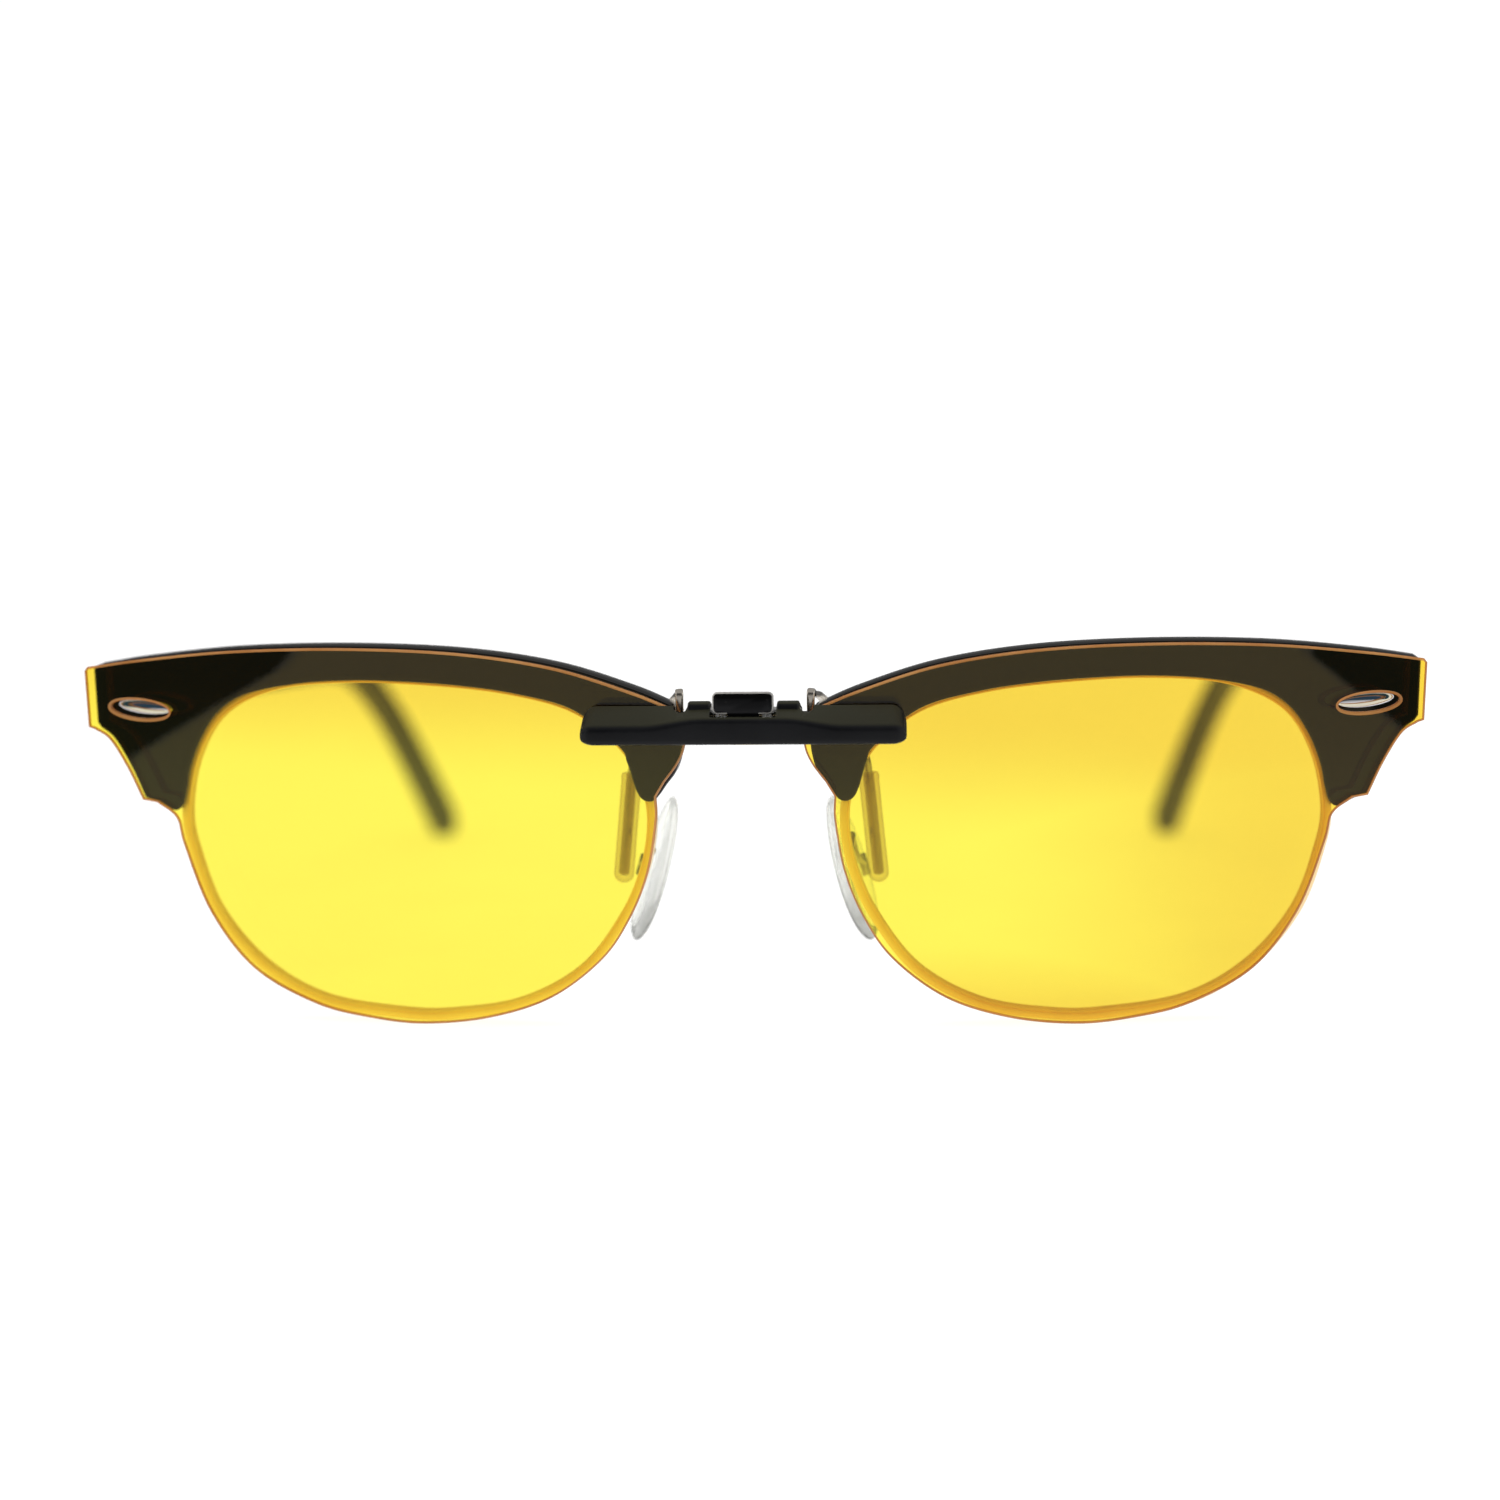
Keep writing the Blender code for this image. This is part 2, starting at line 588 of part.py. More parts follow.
def make_brow_screws(side_name, side, body):
    for number, (x, z) in enumerate(BROW_SCREWS, 1):
        bm = bmesh.new()
        back = BROW_BACK + sag(x)
        add_turned(
            bm,
            ((0, back + 0.1), (BROW_SCREW_RADIUS - 0.2, back + 0.1), (BROW_SCREW_RADIUS, back - 0.1),
             (BROW_SCREW_RADIUS, back - 0.9), (0, back - 0.9)),
            Matrix.Translation((side * x, 0, z)), 14,
        )
        finish(f"brow_screw_{side_name}_{number}", bm, "steel", body)


def make_plaque(side_name, side, body):
    """The domed metal plaque on a brow's end."""
    bm = bmesh.new()
    levels = ((1.0, 0.0), (1.0, 0.25), (0.86, 0.45), (0.55, 0.6))
    rings = []
    back = BROW_FRONT - GAP
    for share, lift in levels:
        loop = ellipse(PLAQUE_X, PLAQUE_Z, PLAQUE_HALF[0] * share, PLAQUE_HALF[1] * share, PLAQUE_TILT)
        rings.append([bm.verts.new((side * p.x, back - lift + sag(p.x), p.y)) for p in loop])
    for a, b in zip(rings, rings[1:]):
        for k in range(len(a)):
            bm.faces.new((a[k - 1], a[k], b[k], b[k - 1]))
    bm.faces.new(rings[0])
    bm.faces.new(rings[-1])
    finish(f"brow_plaque_{side_name}", bm, "steel", body)


def make_rim(side_name, side, body):
    inner = spline(RIM_INNER, closed=True, steps=3)
    bm = bmesh.new()
    add_prism(bm, grown(inner, RIM_WIDTH), RIM_FRONT, RIM_BACK, side, [inner])
    bend(bm, 10.0)
    finish(f"rim_{side_name}", bm, "gold_rim", body)


def make_host_lens(side_name, side, body):
    bm = bmesh.new()
    edge = grown(spline(RIM_INNER, closed=True, steps=3), -GAP)
    add_prism(bm, edge, LENS_FRONT, LENS_BACK, side)
    bend(bm)
    finish(f"spectacle_lens_{side_name}", bm, "clear_lens", body)


def make_bridge(body):
    """The metal bridge between the rims, arched a little and bowed forwards."""
    bm = bmesh.new()
    upper = [(x, BRIDGE_TOP - 1.1 * (x / BRIDGE_HALF) ** 2) for x in range(-9, 10, 2)]
    lower = [(x, BRIDGE_BOTTOM + 0.9 * (x / BRIDGE_HALF) ** 2) for x in range(9, -10, -2)]
    add_prism(bm, upper + lower, BRIDGE_FRONT, BRIDGE_BACK)
    bridge = finish("bridge", bm, "gold_rim", body)
    bevel(bridge, 0.4)


# ---- hinges and temples ---------------------------------------------------------------


def make_hinge_front(side_name, side, body):
    """The leaf on the brow's back, with the upper and lower knuckles."""
    back = BROW_BACK + sag(LEAF_OUTER) + GAP
    bm = bmesh.new()
    add_box(bm, (61.6, back, 10.4), (LEAF_OUTER, back + 0.6, 16.8), side)
    leaf = finish(f"hinge_leaf_front_{side_name}", bm, "steel", body)
    for label, middle in (("low", HINGE_Z - 1.9), ("high", HINGE_Z + 1.9)):
        knuckle = bmesh.new()
        add_cylinder(knuckle, (side * HINGE_X, HINGE_Y, middle), BARREL_RADIUS, 1.6, "z")
        boolean(leaf, cutter(f"front_knuckle_{label}_{side_name}", knuckle, body), "UNION")
        neck = bmesh.new()
        add_box(neck, (HINGE_X - 1.1, back + 0.2, middle - 0.7), (HINGE_X + 1.1, HINGE_Y, middle + 0.7), side)
        boolean(leaf, cutter(f"front_neck_{label}_{side_name}", neck, body), "UNION")
    bore = bmesh.new()
    add_cylinder(bore, (side * HINGE_X, HINGE_Y, HINGE_Z), BARREL_BORE, 12, "z")
    boolean(leaf, cutter(f"front_bore_{side_name}", bore, body))


def make_hinge_temple(side_name, side, body):
    """The leaf on the temple, with the middle knuckle."""
    bm = bmesh.new()
    add_box(bm, (HINGE_X + 0.85, HINGE_Y + 1.95, 11.9), (HINGE_X + 1.5, HINGE_Y + 9, 15.3), side)
    leaf = finish(f"hinge_leaf_temple_{side_name}", bm, "steel", body)
    knuckle = bmesh.new()
    add_cylinder(knuckle, (side * HINGE_X, HINGE_Y, HINGE_Z), BARREL_RADIUS, 1.6, "z")
    boolean(leaf, cutter(f"temple_knuckle_{side_name}", knuckle, body), "UNION")
    neck = bmesh.new()
    add_box(neck, (HINGE_X + 0.2, HINGE_Y, HINGE_Z - 0.7), (HINGE_X + 1.4, HINGE_Y + 3, HINGE_Z + 0.7), side)
    boolean(leaf, cutter(f"temple_neck_{side_name}", neck, body), "UNION")
    bore = bmesh.new()
    add_cylinder(bore, (side * HINGE_X, HINGE_Y, HINGE_Z), BARREL_BORE, 12, "z")
    boolean(leaf, cutter(f"temple_bore_{side_name}", bore, body))


def make_hinge_screw(side_name, side, body):
    bm = bmesh.new()
    turn = Matrix.Translation((side * HINGE_X, HINGE_Y, HINGE_Z)) @ Matrix.Rotation(math.radians(90), 4, "X")
    top = 3.0
    add_turned(
        bm,
        ((0, -top), (HINGE_SCREW_RADIUS, -top), (HINGE_SCREW_RADIUS, top), (1.15, top),
         (1.15, top + 0.35), (0.85, top + 0.6), (0, top + 0.6)),
        turn, 16,
    )
    finish(f"hinge_screw_{side_name}", bm, "steel", body)


def make_temple(side_name, side, body):
    """One temple: straight, slightly closing in, then bent down behind the ear to its tip."""
    line = (
        (67.5, TEMPLE_START, 13.6), (67.2, 22, 13.0), (65.2, 50, 11.3), (62.6, 75, 9.7),
        (60.5, 95, 7.9), (59.0, 104, 5.0), (56.9, 114, -1.6), (54.4, 124, -11.2), (52.2, 133.1, -20.6),
    )
    path = [Vector((side * x, y, z)) for x, y, z in spline(line, steps=2)]
    path = path[:-1] + [path[-1].lerp(path[-2], share) for share in (0.6, 0.3, 0.12, 0.0)]

    def size_at(share):
        height = 3.3 - 1.25 * min(share / 0.55, 1) + 0.55 * max((share - 0.75) / 0.25, 0)
        return 1.55 - 0.25 * min(share / 0.5, 1) + 0.4 * max((share - 0.6) / 0.4, 0), height

    lengths = [0.0]
    for a, b in zip(path, path[1:]):
        lengths.append(lengths[-1] + (b - a).length)
    sizes = []
    tip = 3.4
    for at in lengths:
        left = lengths[-1] - at
        share = 1.0 if left >= tip else math.sqrt(max(1 - (1 - left / tip) ** 2, 0.08))
        width, height = size_at(at / lengths[-1])
        sizes.append((width * share**0.5, height * share))
    bm = bmesh.new()
    add_sweep(bm, path, sizes, segments=14, power=2.8)
    geometry = bm.verts[:] + bm.edges[:] + bm.faces[:]
    cut = bmesh.ops.bisect_plane(
        bm, geom=geometry, dist=0.001, plane_co=(0, 0, TABLE), plane_no=(0, 0, -1), clear_outer=True
    )
    rim = [item for item in cut["geom_cut"] if isinstance(item, bmesh.types.BMEdge)]
    if rim:
        bmesh.ops.contextual_create(bm, geom=rim)
    finish(f"temple_{side_name}", bm, "black_acetate", body)


# ---- nose pads ------------------------------------------------------------------------


def pad_matrix(side):
    """The pad's own frame: x across its width, y towards the nose, z up its length."""
    across = Vector((side * math.cos(PAD_YAW), math.sin(PAD_YAW), 0))
    along = Vector((-side * math.sin(PAD_SPLAY), 0, math.cos(PAD_SPLAY)))
    along = (along - across * along.dot(across)).normalized()
    facing = along.cross(across) * side
    centre = Vector((side * PAD_CENTRE.x, PAD_CENTRE.y, PAD_CENTRE.z))
    return Matrix.Translation(centre) @ Matrix((across, facing, along)).transposed().to_4x4()


def make_pad(side_name, side, body):
    """A drop-shaped soft pad, wider at its foot, with the metal core's seat left clear."""
    bm = bmesh.new()
    bmesh.ops.create_uvsphere(bm, u_segments=16, v_segments=8, radius=1)
    place = pad_matrix(side)
    for vertex in bm.verts:
        x, y, z = vertex.co
        width = PAD_HALF[0] * (1 - 0.12 * z)
        y = math.copysign(abs(y) ** 0.8, y)
        vertex.co = place @ Vector((x * width, y * PAD_HALF[2], z * PAD_HALF[1]))
    finish(f"nose_pad_{side_name}", bm, "silicone", body)


def pad_arm_path(side):
    seat = pad_matrix(side) @ Vector((0, -PAD_HALF[2] - GAP - 0.4, 0))
    points = (
        (side * 10.5, 1.75, -2.4), (side * 10.7, 3.6, -1.2), (side * 10.8, 5.0, -2.2),
        (side * 11.3, 5.9, -4.0), (seat.x, seat.y, seat.z),
    )
    return [Vector(p) for p in spline(points, steps=3)]


def make_pad_arm(side_name, side, body):
    """The bent wire from the rim to the pad, ending in the seat that the pad rocks on."""
    path = pad_arm_path(side)
    bm = bmesh.new()
    add_sweep(bm, path, [(0.38, 0.38)] * len(path), segments=8)
    arm = finish(f"pad_arm_{side_name}", bm, "steel", body)
    seat = bmesh.new()
    centre = pad_matrix(side) @ Vector((0, -PAD_HALF[2] - GAP - 0.35, 0))
    bmesh.ops.create_cube(seat, size=1)
    place = Matrix.Translation(centre) @ pad_matrix(side).to_3x3().to_4x4()
    bmesh.ops.transform(seat, matrix=place @ Matrix.Diagonal((1.5, 0.5, 2.4, 1)), verts=seat.verts)
    boolean(arm, cutter(f"pad_seat_{side_name}", seat, body), "UNION")


# ---- assembly -------------------------------------------------------------------------


def build():
    clear_scene()
    make_materials()
    middle = (BAR_FRONT + TEMPLE_BACK) / 2
    root = make_empty("spectacle_front", (0, middle, TABLE))
    root.location = (0, 0, 0)
    clip = make_empty("clip_on", (0, PIN_Y, BAR_BOTTOM), root)
    jaw = make_empty("clip_jaw_axis", (0, PIN_Y, PIN_Z), clip)

    make_bar(clip)
    make_pin(clip)
    make_lever(jaw)
    make_bridge(root)
    for side_name, side in SIDES.items():
        make_plate(side_name, side, clip)
        make_rivets(side_name, side, clip)
        make_spring(side_name, side, clip)
        make_arm(side_name, side, jaw)
        make_sleeve(side_name, side, jaw)

        make_brow(side_name, side, root)
        make_brow_screws(side_name, side, root)
        make_plaque(side_name, side, root)
        make_rim(side_name, side, root)
        make_host_lens(side_name, side, root)
        make_hinge_front(side_name, side, root)
        make_hinge_screw(side_name, side, root)
        make_pad_arm(side_name, side, root)

        hinge = make_empty(f"temple_axis_{side_name}", (side * HINGE_X, HINGE_Y, HINGE_Z), root)
        make_hinge_temple(side_name, side, hinge)
        make_temple(side_name, side, hinge)
        pad = make_empty(f"pad_axis_{side_name}", (side * PAD_CENTRE.x, PAD_CENTRE.y, PAD_CENTRE.z), root)
        make_pad(side_name, side, pad)


build()
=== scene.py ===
"""The looks of the clip-on sunglasses and of the browline spectacles that they grip.

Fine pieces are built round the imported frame, in millimetres on the frame's own datum: x to the
viewer's right, y to the back, z up, with the datum between the lenses. Each piece stands for
one CAD node and rides on its body.
"""

import math

import bmesh
import bpy
from mathutils import Matrix, Vector


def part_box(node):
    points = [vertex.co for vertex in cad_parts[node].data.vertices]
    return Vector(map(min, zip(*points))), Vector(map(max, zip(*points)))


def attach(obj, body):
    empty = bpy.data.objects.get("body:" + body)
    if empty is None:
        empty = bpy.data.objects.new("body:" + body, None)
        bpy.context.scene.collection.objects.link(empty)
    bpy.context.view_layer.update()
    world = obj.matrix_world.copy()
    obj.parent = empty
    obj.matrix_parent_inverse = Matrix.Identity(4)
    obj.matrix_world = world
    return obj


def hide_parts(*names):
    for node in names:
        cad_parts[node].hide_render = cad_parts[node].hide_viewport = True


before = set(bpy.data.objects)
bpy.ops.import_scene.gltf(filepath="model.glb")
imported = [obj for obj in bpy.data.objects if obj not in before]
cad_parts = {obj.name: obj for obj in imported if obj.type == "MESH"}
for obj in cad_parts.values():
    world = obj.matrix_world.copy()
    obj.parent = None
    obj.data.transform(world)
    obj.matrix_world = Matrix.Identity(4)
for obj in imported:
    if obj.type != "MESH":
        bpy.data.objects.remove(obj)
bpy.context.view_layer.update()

MM = 0.001
SIDES = {"left": -1, "right": 1}
FRONT_RADIUS = 330.0

# The datum in the row frame: the bar's front and underside have known places on it.
BAR_FRONT, BAR_BOTTOM = -8.6, 9.95
bar_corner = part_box("clip_bar")[0]
DATUM = Vector((0.0, bar_corner.y - BAR_FRONT * MM, bar_corner.z - BAR_BOTTOM * MM))

# Layers from front to back at the middle of the front.
PLATE_FRONT, PLATE_BACK = -5.5, -4.5
BROW_FRONT, BROW_BACK, BROW_LIP = -2.2, 2.2, 0.8
RIM_FRONT, RIM_BACK, RIM_WIDTH = -1.1, 1.1, 1.0
LENS_FRONT, LENS_BACK = -0.8, 0.7
BRIDGE_FRONT, BRIDGE_BACK = 0.0, 1.6
ARM_BACK = 3.8

BAR_HALF, BAR_BODY_HALF = 16.7, 5.95
BAR_WING_BACK, BAR_BODY_BACK = -5.8, -3.9
BAR_RIDGE, BAR_WAVE, BAR_CREST = 11.8, 0.85, 13.8
WAVE_START, WAVE_END = 4.0, 10.5
SLOT_FRONT, NOTCH_X, NOTCH_RADIUS = -8.2, 6.5, 0.75
PIN_Y, PIN_Z, PIN_RADIUS = -5.5, 13.1, 0.45
LUG_INNER, LUG_OUTER, LUG_TOP = 3.45, 5.7, 14.1
HUB_HALF, HUB_RADIUS = 1.6, 1.1
TAB_HALF, TAB_BOTTOM, TAB_TOP, TAB_THICK = 3.15, 13.0, 15.25, 0.55
SKIRT_BOTTOM = 12.45
WEB_FRONT, WEB_BACK, WEB_BOTTOM, WEB_TOP = -3.6, -2.8, 12.0, 12.8
ARM_X, ARM_TOP = 6.8, 15.0
SLEEVE_TOP, SLEEVE_BOTTOM, SLEEVE_RADIUS = 5.5, -6.3, 1.08
RIVETS = ((9.6, 11.6), (14.2, 11.8))
RIVET_SHANK, RIVET_HEAD = 0.55, 1.1

BRIDGE_BOTTOM, BRIDGE_TOP, BRIDGE_HALF = 8.9, 12.3, 9.0
PLAQUE_X, PLAQUE_Z, PLAQUE_TILT = 64.4, 12.9, math.radians(5)
CUTOUT_HALF, PLAQUE_HALF = (3.22, 0.95), (3.0, 0.78)
BROW_SCREWS = ((22.0, 16.3), (57.5, 16.0))
BROW_SCREW_RADIUS = 0.7

HINGE_X, HINGE_Y, HINGE_Z = 64.0, 11.6, 13.6
LEAF_INNER, LEAF_OUTER, LEAF_FOOT, LEAF_TOP = 61.6, 66.0, 10.4, 16.8
BARREL_RADIUS, BARREL_BORE, BARREL_LONG, KNUCKLE_PITCH = 1.5, 0.8, 1.6, 1.9
TEMPLE_START = 9.8
TABLE = -20.58

PAD_CENTRE = Vector((10.6, 7.4, -5.3))
PAD_HALF = (3.6, 8.0, 0.95)
PAD_YAW, PAD_SPLAY = math.radians(68), math.radians(18)

# Outlines of the right half, (x, z): each list is one smooth stretch between two corners.
PLATE_OUTLINE = (
    ((7.5, 13.4), (12, 15.2), (20, 17.65), (30, 19.1), (42, 19.55), (54, 19.2), (64, 18.2), (70.2, 17.3)),
    ((70.5, 16.9), (70.25, 10.9)),
    ((69.6, 10.7), (67.9, 9.6), (66.0, 6.6), (64.4, 3.25)),
    (
        (62.8, 3.0), (60.7, 1.4), (59.9, -1.6), (57.2, -8.6), (52.6, -14.5), (46, -18.1),
        (40, -19.5), (34, -20.0), (27, -19.2), (20.5, -17.0), (15.1, -12.9), (12.05, -8.45),
        (10.15, -3.7), (9.2, 1.6), (9.2, 4.2),
    ),
    ((8.3, 5.7), (6.9, 7.6), (6.15, 9.5), (6.2, 12.0)),
)
BROW_OUTLINE = (
    ((7.3, 13.2), (12, 15.2), (20, 17.65), (30, 19.1), (42, 19.55), (54, 19.2), (64, 18.15), (69.9, 17.2)),
    ((70.3, 16.8), (70.1, 11.05)),
    ((69.7, 10.5), (68.2, 9.3), (66.4, 6.3), (64.9, 3.0)),
    ((64.0, 2.75), (62.9, 2.3), (61.9, 1.75), (61.2, 1.8), (60.6, 2.5), (60.3, 3.6)),
    (
        (60.15, 4.2), (59.8, 6.1), (58.6, 9.2), (56.6, 12.2), (53.5, 14.2), (48, 15.4),
        (42, 15.85), (36, 15.75), (30, 15.35), (24, 14.5), (18, 12.8), (13.3, 9.0),
        (12.5, 7.4), (12.05, 6.0), (11.7, 4.8), (11.2, 3.75), (10.5, 3.25), (9.7, 3.35),
        (9.0, 4.1), (8.3, 5.1), (7.4, 6.3), (6.9, 7.8), (6.65, 9.6), (6.6, 12.4),
    ),
)
RIM_INNER = (
    (60.1, 1.5), (59.4, -3.0), (57.0, -9.2), (52.2, -14.7), (45.7, -18.2), (37.1, -19.45),
    (31.5, -19.4), (24.3, -18.1), (17.9, -14.5), (13.6, -8.9), (11.4, -3.9), (10.6, 0.8),
    (11.2, 4.6), (13.4, 8.6), (18.2, 12.4), (25, 14.3), (33, 15.2), (42, 15.5), (50, 14.7),
    (55.8, 12.0), (58.9, 7.3),
)


# ---- node helpers and materials -------------------------------------------------------


class Nodes:
    """A short way to wire the nodes of a material or world."""

    def __init__(self, tree):
        self.tree = tree
        tree.nodes.clear()

    def make(self, kind, **settings):
        node = self.tree.nodes.new(kind)
        for key, value in settings.items():
            setattr(node, key, value)
        return node

    def link(self, source, target):
        self.tree.links.new(source, target)

    def put(self, target, value):
        """Links a socket, or sets a plain value, on an input."""
        if isinstance(value, bpy.types.NodeSocket):
            self.link(value, target)
        elif isinstance(value, tuple) and len(value) == 3 and target.type == "RGBA":
            target.default_value = (*value, 1.0)
        else:
            target.default_value = value

    def noise(self, scale, detail=4.0, roughness=0.5, stretch=(1, 1, 1)):
        where = self.position()
        if stretch != (1, 1, 1):
            where = self.shader("ShaderNodeMapping", Vector=where, Scale=stretch)
        return self.shader(
            "ShaderNodeTexNoise", Vector=where, Scale=scale, Detail=detail, Roughness=roughness
        )

    def span(self, value, from_low, from_high, to_low, to_high, smooth=False):
        """Maps a value from one range to another and keeps it inside."""
        node = self.make("ShaderNodeMapRange")
        if smooth:
            node.interpolation_type = "SMOOTHSTEP"
        for place, number in enumerate((value, from_low, from_high, to_low, to_high)):
            self.put(node.inputs[place], number)
        return node.outputs["Result"]

    def axis(self, vector, name):
        """One axis, "X", "Y" or "Z", of a vector socket."""
        split = self.make("ShaderNodeSeparateXYZ")
        self.link(vector, split.inputs[0])
        return split.outputs[name]

    def position(self):
        """The shaded point in the row frame, in metres."""
        return self.make("ShaderNodeTexCoord").outputs["Object"]

    def facing(self, blend):
        """How far the shaded face is turned to edge-on, alike on front and back faces."""
        node = self.make("ShaderNodeLayerWeight")
        node.inputs["Blend"].default_value = blend
        return node.outputs["Facing"]

    def math(self, operation, a, b=0.0):
        node = self.make("ShaderNodeMath", operation=operation)
        self.put(node.inputs[0], a)
        self.put(node.inputs[1], b)
        return node.outputs["Value"]

    def mix(self, share, a, b):
        node = self.make("ShaderNodeMix", data_type="FLOAT")
        self.put(node.inputs[0], share)
        self.put(node.inputs[2], a)
        self.put(node.inputs[3], b)
        return node.outputs[0]

    def mix_colour(self, share, a, b):
        node = self.make("ShaderNodeMix", data_type="RGBA")
        self.put(node.inputs["Factor"], share)
        self.put(node.inputs[6], a)
        self.put(node.inputs[7], b)
        return node.outputs[2]

    def tone(self, noise, low, high):
        """A colour that wanders between two tones with a noise."""
        return self.mix_colour(self.span(noise, 0.3, 0.7, 0, 1), low, high)

    def bump(self, height, strength, distance):
        return self.shader("ShaderNodeBump", Strength=strength, Distance=distance, Height=height)

    def shader(self, kind, **inputs):
        """The first output of a new node with these inputs, named with _ for a space."""
        node = self.make(kind)
        for name, value in inputs.items():
            self.put(node.inputs[name.replace("_", " ")], value)
        return node.outputs[0]

    def mix_shader(self, share, a, b):
        node = self.make("ShaderNodeMixShader")
        self.put(node.inputs[0], share)
        self.link(a, node.inputs[1])
        self.link(b, node.inputs[2])
        return node.outputs[0]

    def surface(self, shader):
        out = self.make("ShaderNodeOutputMaterial")
        self.link(shader, out.inputs["Surface"])

    def solid(self, **inputs):
        """A surface of one Principled shader."""
        self.surface(self.shader("ShaderNodeBsdfPrincipled", **inputs))


def new_material(name):
    material = bpy.data.materials.new(name)
    material.use_nodes = True
    return material, Nodes(material.node_tree)


def mirrored_share(n, straight_on):
    """The share of light that a clear sheet mirrors, which rises steeply towards edge-on."""
    return n.span(n.math("POWER", n.facing(0.5), 5.0), 0.0, 1.0, straight_on, 0.9)


PLATE_TINT, PLATE_DEEP_TINT = (1.0, 0.93, 0.292), (0.95, 0.80, 0.238)


def make_tinted_plate():
    """Clear yellow sheet: light goes straight through, tinted deeper at the top and at the far right.

    What the pieces behind it mirror is tinted once, on the way back, and hardly on the way out.
    """
    material, n = new_material("yellow_plate")
    cloud = n.span(n.noise(22, 2, 0.5), 0, 1, -0.004, 0.004)
    side = n.axis(n.position(), "X")
    height = n.math("ADD", n.axis(n.position(), "Z"), cloud)
    top = n.span(n.math("ADD", height, n.math("MULTIPLY", side, 0.10)), 0.022, 0.036, 0, 1, smooth=True)
    end = n.span(n.math("ADD", side, cloud), 0.022, 0.058, 0, 0.9, smooth=True)
    foot = n.span(height, 0.010, 0.001, 0, 0.8, smooth=True)
    foot = n.math("MULTIPLY", foot, n.math("GREATER_THAN", side, 0.0))
    deep = n.math("MAXIMUM", top, n.math("MAXIMUM", end, foot))
    tint = n.mix_colour(deep, PLATE_TINT, PLATE_DEEP_TINT)
    mirrored = n.math("MULTIPLY", n.make("ShaderNodeLightPath").outputs["Is Glossy Ray"], 0.8)
    tint = n.mix_colour(mirrored, tint, (1.0, 1.0, 1.0))
    clear = n.shader("ShaderNodeBsdfTransparent", Color=tint)
    smudge = n.span(n.noise(90, 6, 0.65), 0.45, 0.8, 0.0, 0.025)
    gloss = n.shader("ShaderNodeBsdfGlossy", Color=(1, 1, 1), Roughness=smudge)
    n.surface(n.mix_shader(mirrored_share(n, 0.033), clear, gloss))
    return material


def make_plate_edge():
    """The polished edge, deeper orange than the face, with a faint painted orange glow."""
    material, n = new_material("yellow_plate_edge")
    streak = n.noise(160, 3, 0.5)
    colour = n.mix_colour(n.span(streak, 0.35, 0.65, 0, 1), (0.38, 0.155, 0.04), (0.48, 0.235, 0.075))
    # Painted glow: the faint orange emission lights the edge from within.
    body = n.shader(
        "ShaderNodeBsdfPrincipled", Base_Color=colour, Roughness=0.18,
        Emission_Color=(0.9, 0.38, 0.03), Emission_Strength=0.02,
    )
    clear = n.shader("ShaderNodeBsdfTransparent", Color=(0.85, 0.48, 0.09))
    n.surface(n.mix_shader(0.7, clear, body))
    return material


def make_clear_lens():
    """The spectacles' own lens: clear, with a faint green gloss and smudges."""
    material, n = new_material("clear_lens")
    clear = n.shader("ShaderNodeBsdfTransparent", Color=(0.985, 0.99, 0.985))
    smudge = n.span(n.noise(70, 5, 0.6), 0.45, 0.8, 0.01, 0.05)
    gloss = n.shader("ShaderNodeBsdfGlossy", Color=(0.9, 1.0, 0.95), Roughness=smudge)
    n.surface(n.mix_shader(mirrored_share(n, 0.018), clear, gloss))
    return material


def make_black_acetate(name, low, high, rough_low, rough_high):
    """Black acetate with faint polishing swirls and dust-fine scratches."""
    material, n = new_material(name)
    swirl = n.noise(40, 8, 0.7)
    fine = n.noise(900, 3, 0.6, stretch=(1, 0.15, 1))
    rough = n.span(swirl, 0.35, 0.75, rough_low, rough_high)
    rough = n.math("ADD", rough, n.span(fine, 0.5, 0.8, 0, 0.012))
    n.solid(
        Base_Color=n.tone(swirl, low, high), Roughness=rough, Specular_IOR_Level=0.45,
        Normal=n.bump(swirl, 0.006, 0.0001),
    )
    return material


def make_black_moulding():
    """Satin moulded plastic with a fine spark-eroded grain, and a painted olive reflection of the plates on
    its upper faces.
    """
    material, n = new_material("black_moulding")
    grain = n.noise(2600, 3, 0.6)
    cloud = n.noise(150, 4, 0.5)
    rough = n.math("ADD", n.span(cloud, 0.3, 0.7, 0.30, 0.42), n.span(grain, 0.3, 0.7, -0.03, 0.05))
    tone = n.tone(cloud, (0.002, 0.0022, 0.003), (0.004, 0.0043, 0.0055))
    # Painted reflection: faces that look upward are mixed towards olive, standing in for the yellow plates
    # mirrored in them.
    painted_reflection_share = n.axis(n.make("ShaderNodeNewGeometry").outputs["Normal"], "Z")
    painted_reflection_share = n.span(painted_reflection_share, 0.45, 0.85, 0, 1, smooth=True)
    tone = n.mix_colour(painted_reflection_share, tone, (0.016, 0.0155, 0.0075))
    n.solid(
        Base_Color=tone, Roughness=rough, Specular_IOR_Level=0.22, Normal=n.bump(grain, 0.25, 0.00004)
    )
    return material


def drawn_lines(n):
    return n.noise(700, 5, 0.65, stretch=(1, 0.1, 1))


def make_metal(name, low, high, rough_low, rough_high):
    """A drawn or polished metal: tone and roughness vary along fine drawing lines."""
    material, n = new_material(name)
    lines = drawn_lines(n)
    cloud = n.noise(120, 3, 0.5)
    rough = n.span(n.math("ADD", lines, n.span(cloud, 0, 1, -0.2, 0.2)), 0.3, 0.8, rough_low, rough_high)
    tone = n.tone(cloud, low, high)
    n.solid(Base_Color=tone, Metallic=1.0, Roughness=rough, Normal=n.bump(lines, 0.12, 0.00003))
    return material


